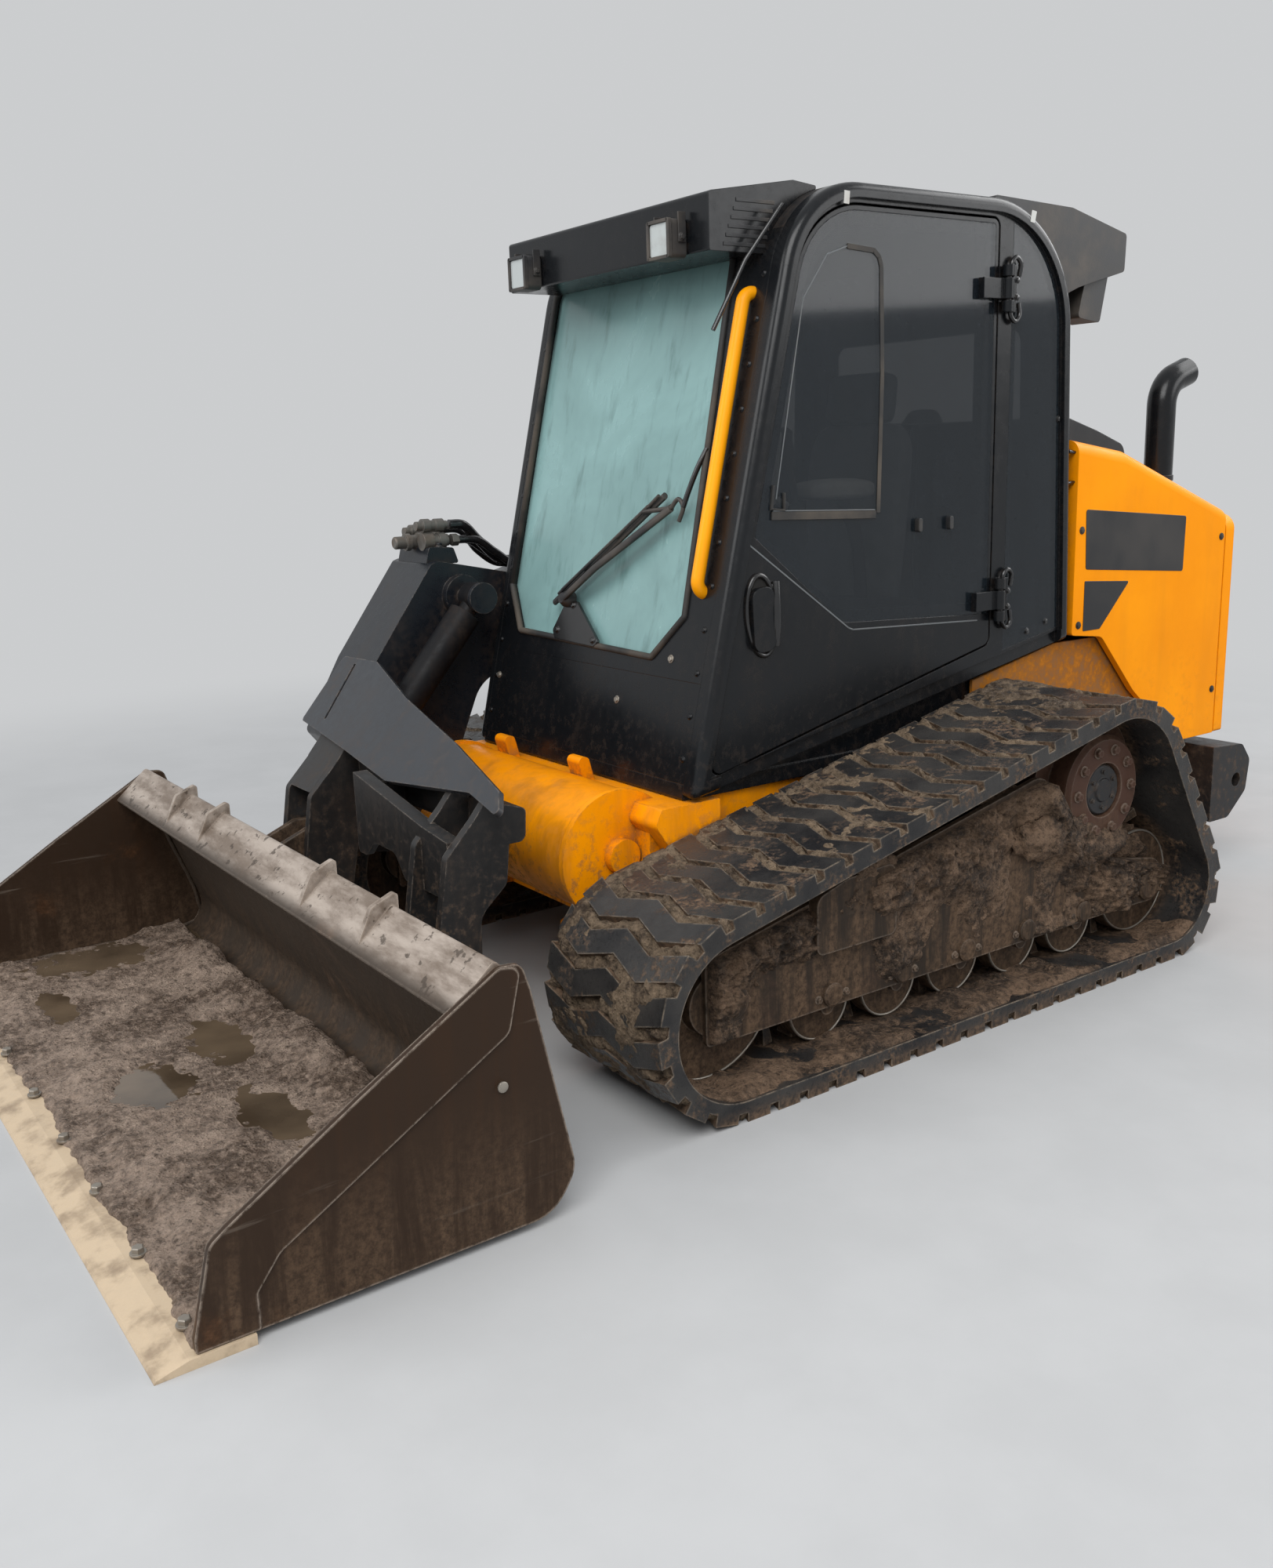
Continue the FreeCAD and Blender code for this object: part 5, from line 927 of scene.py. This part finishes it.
def lamps():
    """Front work lamps, each a case with rim, cooling ribs, lens and bracket, and the rear lamp's glass."""
    bm = bmesh.new()
    lens = bmesh.new()
    for x in (-LAMP_X, LAMP_X):
        add_front_plate(bm, rectangle(x - 45, x + 45, LAMP_LOW, LAMP_HIGH, 14), -690, -645)
        for side in (-1, 1):
            outer, inner = x + side * 45, x + side * 36
            rim = ((outer, LAMP_LOW, 6), (outer, LAMP_HIGH, 6), (inner, LAMP_HIGH, 2), (inner, LAMP_LOW, 2))
            add_front_plate(bm, rim, -699, -688)
        for z in (LAMP_LOW + 4, LAMP_HIGH - 4):
            add_box(bm, x - 40, x + 40, -699, -688, z - 4, z + 4)
        for index in range(4):
            add_box(bm, x - 38, x + 38, -646, -640, 1904 + index * 20, 1912 + index * 20)
        add_front_plate(lens, rectangle(x - 37, x + 37, LAMP_LOW + 7, LAMP_HIGH - 7, 8), -694, -689)
        for side in (-1, 1):
            add_box(bm, x + side * 46, x + side * 50, -672, -650, 1930, 1998)
            add_bolt(bm, at(x + side * 50, -662, 1942), Vector((side, 0, 0)), 13, 6)
    case = finish_piece("lamp_cases", bm, "plastic", 2.0)
    finish_piece("lamp_glasses", lens, "lens", 2.0)
    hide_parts("front_lamps")
    bm = bmesh.new()
    loop = rounded_loop(rectangle(-14, 14, 1822, 1880, 4))
    add_prism(bm, [at(430 + u * 2.4, 812 + (v - 1851) * 0.3, v) for u, v in loop], Vector((0, 0.004, 0)))
    finish_piece("rear_lamp_glass", bm, "lens", 1.0)


def screen_trim():
    """Rubber seal and screws round the windscreen, and bolts in the panel below it."""
    rows = ((-472, 1070, 12), (-385, 945, 12), (280, 930, 12), (392, 1040, 12), (350, 1915, 25), (-472, 1915, 25))
    path = [on_screen(x, z, 1.0) for x, z in rounded_loop(rows, 4)]
    bm = bmesh.new()
    add_sweep(bm, path + [path[0]], 9, 8)
    finish_piece("screen_seal", bm, "seal", angle=180)
    bm = bmesh.new()
    for index in range(12):
        for x in (-488, 478):
            add_bolt(bm, on_screen(x, 700 + index * 105), SCREEN_OUT, 12, 5)
    finish_piece("screen_screws", bm, "black", 0.8)
    bm = bmesh.new()
    for x, z in ((-470, 806), (157, 808), (363, 934)):
        add_bolt(bm, on_screen(x, z), SCREEN_OUT, 15, 6)
    finish_piece("panel_bolts", bm, "ring", 0.8)


def wiper():
    """Wiper arm, blade, pivot and hose across the lower windscreen, and the cover of its motor."""
    bm = bmesh.new()
    pivot, tip = on_screen(*WIPER_PIVOT, 28), on_screen(292, 1300, 24)
    add_sweep(bm, [pivot, pivot.lerp(tip, 0.35) + SCREEN_OUT * 0.012, tip], 13, 10, 0.7)
    low, high = on_screen(-200, 1036, 14), on_screen(244, 1332, 14)
    add_sweep(bm, [low, high], 12, 8, 0.7)
    along = high - low
    above = SCREEN_OUT * 0.016
    for share in (0.08, 0.32, 0.62, 0.9):
        spot = low + along * share
        add_sweep(bm, [spot, spot + SCREEN_OUT * 0.014, spot + along * 0.09 + above], 5, 8)
    add_sweep(bm, [low + along * 0.12 + above, high - along * 0.1 + above], 5, 8)
    add_sweep(bm, [low + along * 0.85 + SCREEN_OUT * 0.015, tip], 6, 8)
    add_turned(bm, on_screen(*WIPER_PIVOT), SCREEN_OUT, ((-2, 24), (22, 22), (36, 14)), 24)
    hose = [tip, on_screen(318, 1322, 26), on_screen(334, 1304, 18), on_screen(318, 1270, 12)]
    add_sweep(bm, smooth_path(hose, 5), 6, 8)
    finish_piece("wiper", bm, "plastic", angle=40)
    bm = bmesh.new()
    rows = ((-196, 960, 8), (-150, 1040, 10), (-96, 1046, 10), (40, 946, 8), (20, 932, 4), (-180, 938, 4))
    add_prism(bm, [on_screen(x, z, 1.0) for x, z in rounded_loop(rows, 4)], SCREEN_OUT * 0.010)
    for x, z in ((-170, 962), (-108, 1034), (14, 948)):
        add_bolt(bm, on_screen(x, z, 11), SCREEN_OUT, 13, 6)
    finish_piece("wiper_cover", bm, "gloss", 1.5)


def add_strip(bm, rows, width, height):
    """Flat strip on the door, along a line of y and z."""
    path = [at(DOOR_FACE, y, z) for y, z in rows]
    for first, second in zip(path, path[1:]):
        way = (second - first).normalized()
        across = way.cross(Vector((1, 0, 0))) * width / 2000
        first, second = first - way * 0.0005, second + way * 0.0005
        loop = [first + across, second + across, second - across, first - across]
        add_prism(bm, loop, Vector((height / 1000, 0, 0)))


def door_trim():
    """Sliding window, its rail and catch, the knobs, painted highlight lines along the window, rail and crease,
    the handle with painted shade in its cup, and the hinges' links.
    """
    out = Vector((1, 0, 0))
    bm = bmesh.new()
    add_strip(bm, WINDOW_REAR, 13, 2.4)
    add_strip(bm, ((-529, 1284), (-176, 1270)), 20, 5.0)
    catch = ((-523, 1357), (-530, 1300), (-489, 1296), (-489, 1338))
    add_sweep(bm, [at(DOOR_FACE + 3, y, z) for y, z in catch], 5, 8)
    finish_piece("window_seal", bm, "seal", 0.6, "door")
    # Pale lines that paint highlights along the window's front edge, the rail's top edge and the door's crease.
    bm = bmesh.new()
    add_strip(bm, WINDOW_FRONT, 3.5, 0.9)
    add_strip(bm, ((-525, 1296), (-180, 1282)), 3, 5.6)
    add_strip(bm, ((-632, 1241), (-268, 984), (-252, 978), (226, 957)), 4, 1.2)
    finish_piece("door_highlight_lines", bm, "highlight_line", body="door")
    bm = bmesh.new()
    for y in (-20, 99):
        add_side_plate(bm, rectangle(y - 7, y + 7, 1216, 1252, 6), DOOR_FACE - 1, DOOR_FACE + 16)
    finish_piece("door_knobs", bm, "plastic", 2.0, "door")
    bm = bmesh.new()
    y0, z0 = HANDLE
    ring = [(y0 + 47 * u - 8 * v, z0 + 100 * v) for u, v in circle(44)]
    path = [at(DOOR_FACE + 2, y, z) for y, z in ring]
    add_sweep(bm, path + [path[0]], 7, 10)
    bows = [math.sin(math.pi * index / 10) for index in range(11)]
    grip = [at(DOOR_FACE + 10 + 10 * bow, -524 - 6 * bow, 965 + 16 * index) for index, bow in enumerate(bows)]
    add_sweep(bm, grip, 10, 12, 0.6)
    finish_piece("door_handle", bm, "gloss", body="door", angle=50)
    # A dark matte sheet in the handle's cup is painted shade of the recess.
    bm = bmesh.new()
    loop = [at(DOOR_FACE, y0 + (y - y0) * 0.9, z0 + (z - z0) * 0.94) for y, z in ring]
    add_prism(bm, loop, Vector((0.0012, 0, 0)))
    finish_piece("handle_cup", bm, "soot_and_shade", body="door")
    bm = bmesh.new()
    for middle in (1010, 1840):
        for sign in (-1, 1):
            low, bend, high = (middle + sign * reach for reach in (34, 66, 82))
            link = ((9, 318, low), (12, 316, bend), (12, 334, high), (12, 352, bend), (9, 350, low))
            add_sweep(bm, smooth_path([at(DOOR_FACE + x, y, z) for x, y, z in link], 5), 6.5, 10)
        for shift in (-22, 22):
            add_bolt(bm, at(DOOR_FACE + 21, 328, middle + shift), out, 13, 6)
    for y, z in ((522, 926), (548, 1500), (440, 905)):
        add_bolt(bm, at(DOOR_FACE - 1, y, z), out, 14, 6)
    finish_piece("hinge_links", bm, "gloss", angle=50)


def side_marks():
    """Strips of pale tape on the cab's upper rim, the rear catch, and rod and hose beside the windscreen."""
    bm = bmesh.new()
    for y, tilt in ((-292, 0.06), (392, 0.17)):
        lean, drop = 40 * tilt, 18 * tilt
        rows = ((y - 9, 2014, 1), (y - 9 + lean, 2044, 1), (y + 9 + lean, 2044 - drop, 1), (y + 9, 2014 - drop, 1))
        add_side_plate(bm, rows, 553, 554.6)
    finish_piece("tape_marks", bm, "tape")
    bm = bmesh.new()
    add_sweep(bm, [at(528, y, z) for y, z in ((612, 1408), (650, 1404), (655, 1322), (612, 1318))], 7, 10)
    add_sweep(bm, [at(505, -455, 2010), at(492, -560, 1880), at(468, -642, 1722)], 5.5, 10)
    hose = ((374, 1450, 4), (364, 1400, 16), (346, 1345, 18), (334, 1304, 18))
    add_sweep(bm, smooth_path([on_screen(*spot) for spot in hose], 8), 7, 8)
    finish_piece("rods_and_hoses", bm, "gloss", angle=50)


def visor_louvres():
    """Slats on both sides of the roof's visor."""
    bm = bmesh.new()
    for index in range(6):
        z = 1915 + index * 20
        for x in (458, -462):
            add_box(bm, x, x + 4, -600 + index * 8, -470 + index * 6, z, z + 9)
    finish_piece("visor_louvres", bm, "plastic", 1.0)


def roof_hatch():
    """Hatch on the roof with its two catches."""
    bm = bmesh.new()
    add_top_plate(bm, rectangle(-300, 300, -330, 250, 60), 2068, 10)
    add_top_plate(bm, rectangle(-255, 255, -285, 205, 45), 2077, 5)
    for x in (-180, 180):
        add_box(bm, x - 24, x + 24, -322, -276, 2076, 2085)
    finish_piece("roof_hatch", bm, "black_top", 2.5)


def signed_power(value, exponent):
    return math.copysign(abs(value) ** exponent, value)


def add_cushion(bm, x, y, z, half_x, half_y, half_z, crown, lean=0.0):
    """Closed pad with rounded edges and a crowned face. Lean tips it back, in radians."""
    turn = Matrix.Rotation(lean, 3, "X")

    def place(column, row):
        around = 2 * math.pi * column
        rise = math.pi * (row - 0.5)
        flat = abs(math.cos(rise)) ** 0.35
        u = signed_power(math.cos(around), 0.3) * flat * half_x
        v = signed_power(math.sin(around), 0.3) * flat * half_y
        w = signed_power(math.sin(rise), 0.6) * half_z
        if w > 0:
            w += crown * (1 - (u / half_x) ** 2) * (1 - (v / half_y) ** 2)
        spot = turn @ Vector((u, v, w))
        return at(x + spot.x, y + spot.y, z + spot.z)

    add_grid(bm, 56, 24, place, wrap=True)


def cab_inside():
    """Seat with padded cushions, arm rest on its post, levers and a small screen."""
    bm = bmesh.new()
    rows = ((-60, 642, 20), (-60, 700, 40), (-20, 760, 40), (-20, 826, 10), (290, 826, 10), (290, 642, 20))
    add_side_plate(bm, rows, -165, 165)
    add_side_plate(bm, ((250, 826, 20), (318, 1500, 30), (352, 1500, 20), (330, 826, 20)), -190, 190)
    base = finish_piece("seat_base", bm, "plastic", 6.0)
    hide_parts("driver_seat")
    for name, spot, half, crown, lean, cover, fill in (
            ("seat_cushion", (0, 60, 872), (225, 200, 46), 14, 0.05, "seat", 0.7),
            ("seat_back", (0, 266, 1180), (205, 330, 42), 20, -1.69, "seat", 0.7),
            ("head_rest", (0, 300, 1580), (130, 75, 36), 12, -1.69, "seat", 0.7),
            ("arm_rest", (ARM_REST_X, -165, 1330), (52, 118, 24), 8, 0.0, "pale_cloth", 0.8)):
        bm = bmesh.new()
        add_cushion(bm, *spot, *half, crown, lean)
        finish_piece(name, bm, cover, angle=60)
    bm = bmesh.new()
    post = [at(ARM_REST_X, y, z) for y, z in ((-60, 1030), (-80, 1200), (-140, 1316))]
    add_sweep(bm, smooth_path(post), 18, 14)
    finish_piece("arm_rest_post", bm, "plastic", angle=50)
    bm = bmesh.new()
    rows = ((-448, 1306, 10), (-424, 1490, 10), (-392, 1486, 10), (-416, 1302, 10))
    add_side_plate(bm, rows, 300, 430)
    add_sweep(bm, [at(365, -400, 1330), at(ARM_REST_X, -330, 1296)], 12, 12)
    finish_piece("control_screen", bm, "pale_plastic", 3.0)
    bm = bmesh.new()
    knob = ((0, 16), (20, 24), (70, 22), (92, 26), (104, 14))
    for x in (-372, 372):
        stem = smooth_path([at(x, -300, 1296), at(x, -306, 1350), at(x - 6, -318, 1400)], 5)
        add_sweep(bm, stem, 9, 12)
        add_turned(bm, at(x - 6, -318, 1392), Vector((0, -0.2, 1)), knob, 20)
    finish_piece("control_levers", bm, "plastic", angle=50)


# Body

PANEL_FACE = 544.2
REAR_FACE = 1451.0
EXHAUST_X, EXHAUST_Y, EXHAUST_RADIUS = 360.0, 1290.0, 45.0
EXHAUST_TURN, EXHAUST_BEND = math.radians(72), 92
PIPE_ROWS = ((-700, 1204), (-640, 1206), (-752, 1232))


def hood_marks():
    """Blank black panels and screws on the engine cover's sides."""
    bm = bmesh.new()
    rows = ((692, 1064, 8), (684, 1240, 8), (1181, 1196, 8), (1178, 1024, 8))
    add_side_plate(bm, rows, PANEL_FACE, PANEL_FACE + 2.2)
    add_side_plate(bm, ((690, 1030, 4), (690, 880, 4), (770, 880, 4), (905, 1014, 4)), PANEL_FACE, PANEL_FACE + 2)
    finish_piece("side_panels", bm, "decal", 0.4)
    bm = bmesh.new()
    for y, z in ((668, 900), (668, 1180), (1380, 1120), (1380, 620)):
        for x, side in ((545, 1), (-560, -1)):
            add_bolt(bm, at(x, y, z), Vector((side, 0, 0)), 16, 5)
    finish_piece("hood_screws", bm, "seal", 0.8)


def exhaust():
    """Bent exhaust pipe with its clamp and a dark mouth, which is soot and painted shade of the open end."""
    bm = bmesh.new()
    bend = [at(EXHAUST_X, EXHAUST_Y, z) for z in (1232, 1380, 1500)]
    for index in range(7):
        angle = EXHAUST_TURN * index / 6
        y = EXHAUST_Y + EXHAUST_BEND * (1 - math.cos(angle))
        bend.append(at(EXHAUST_X, y, 1538 + EXHAUST_BEND * math.sin(angle)))
    way = Vector((0, math.sin(EXHAUST_TURN), math.cos(EXHAUST_TURN)))
    end = bend[-1] + way * 0.062
    add_sweep(bm, smooth_path(bend + [end], 5), EXHAUST_RADIUS, 36)
    pipe = finish_piece("exhaust_pipe", bm, "black", angle=50)
    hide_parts("exhaust_stack")
    bm = bmesh.new()
    # The dark disc on the pipe's closed end is soot and painted shade of its opening.
    mouth = EXHAUST_RADIUS - 5
    add_turned(bm, end + way * 0.0006, way, ((0, mouth), (1.2, mouth)), 36)
    finish_piece("exhaust_mouth", bm, "soot_and_shade")
    bm = bmesh.new()
    wrap = EXHAUST_RADIUS + 3
    add_turned(bm, at(EXHAUST_X, EXHAUST_Y, 1300), Vector((0, 0, 1)), ((0, wrap), (18, wrap)), 36)
    add_bolt(bm, at(EXHAUST_X, EXHAUST_Y - wrap - 1, 1309), Vector((0, -1, 0)), 14, 16)
    finish_piece("exhaust_clamp", bm, "black_low", 1.0)


def hood_lid():
    """Glossy lid behind the cab, rising above the engine cover."""
    bm = bmesh.new()
    rows = ((692, 1420, 4), (692, 1514, 24), (734, 1506, 60), (873, 1466, 90), (1003, 1421, 40), (1034, 1336, 6),
            (872, 1386, 6))
    add_side_plate(bm, rows, -430, 430)
    finish_piece("hood_lid", bm, "gloss", 8.0, segments=3)


def rear_latch():
    """Recessed latch of the rear door, on its body."""
    bm = bmesh.new()
    add_front_plate(bm, rectangle(450, 512, 780, 900, 14), REAR_FACE - 2, REAR_FACE + 3)
    add_front_plate(bm, rectangle(462, 484, 800, 880, 10), REAR_FACE + 2, REAR_FACE + 14)
    finish_piece("rear_latch", bm, "plastic", 2.0, "engine_door")


def couplers():
    """Auxiliary hydraulic couplers on the arm, with their pipes along its top."""
    forward = Vector((0, -1, 0))
    bm = bmesh.new()
    big = ((0, 17), (10, 17), (10, 25), (34, 25), (34, 20), (52, 20), (52, 27), (86, 27), (86, 21), (112, 21),
           (112, 26), (128, 26), (128, 19), (160, 19), (164, 15))
    small = ((0, 13), (14, 13), (14, 20), (42, 20), (42, 16), (60, 16), (60, 21), (84, 21), (84, 14), (104, 14))
    for x, y, z, rows in ((-700, -790, 1204, big), (-752, -790, 1232, small), (-650, -800, 1252, small),
                          (-640, -806, 1206, big[:9])):
        add_turned(bm, at(x, y, z), forward, rows, 28)
    for x, z in PIPE_ROWS[:2]:
        add_bolt(bm, at(x, -792, z), Vector((0, 1, 0)), 34, 24, False)
    heads = finish_piece("couplers", bm, "coupler", 1.0, "boom")
    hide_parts("aux_couplers")
    bm = bmesh.new()
    add_side_plate(bm, ((-902, 1139, 6), (-888, 1192, 10), (-806, 1186, 10), (-790, 1139, 6)), -790, -600)
    for x in (-772, -618):
        add_bolt(bm, at(x, -846, 1190), Vector((0, 0, 1)), 20, 12)
    finish_piece("coupler_block", bm, "boom", 3.0, "boom")
    bm = bmesh.new()
    for (x, z0), y0 in zip(PIPE_ROWS, (-775, -775, -782)):
        line = ((y0, z0), (-700, z0 - 6), (-640, 1160), (-560, 1116), (-440, 1142), (-200, 1212), (60, 1288),
                (200, 1322))
        add_sweep(bm, smooth_path([at(x, y, z) for y, z in line], 8), 12, 14)
    line = ((-650, -792, 1252), (-650, -740, 1246), (-668, -680, 1196), (-670, -600, 1134), (-670, -470, 1140))
    add_sweep(bm, smooth_path([at(*spot) for spot in line], 8), 15, 14)
    finish_piece("arm_pipes", bm, "gloss", body="boom", angle=50)
    bm = bmesh.new()
    for y, z in ((-420, 1133), (-60, 1238), (170, 1305)):
        add_box(bm, -778, -618, y - 16, y + 16, z, z + 34)
    finish_piece("pipe_clamps", bm, "black_low", 3.0, "boom")


place_camera()
dress_nodes()
for side, word in ((1, "left"), (-1, "right")):
    for build in (packed_mud, belt_inside, frame_mud, mud_heaps, hub_bolts, axle_caps, wheel_rims):
        build(word, side)
for build in (bucket_mud, bucket_bolts, bucket_welds, lamps, screen_trim, wiper, door_trim, side_marks,
              visor_louvres, roof_hatch, cab_inside, hood_marks, exhaust, hood_lid, rear_latch, couplers):
    build()
make_stage()
for light in LIGHTS:
    soft_light(*light)
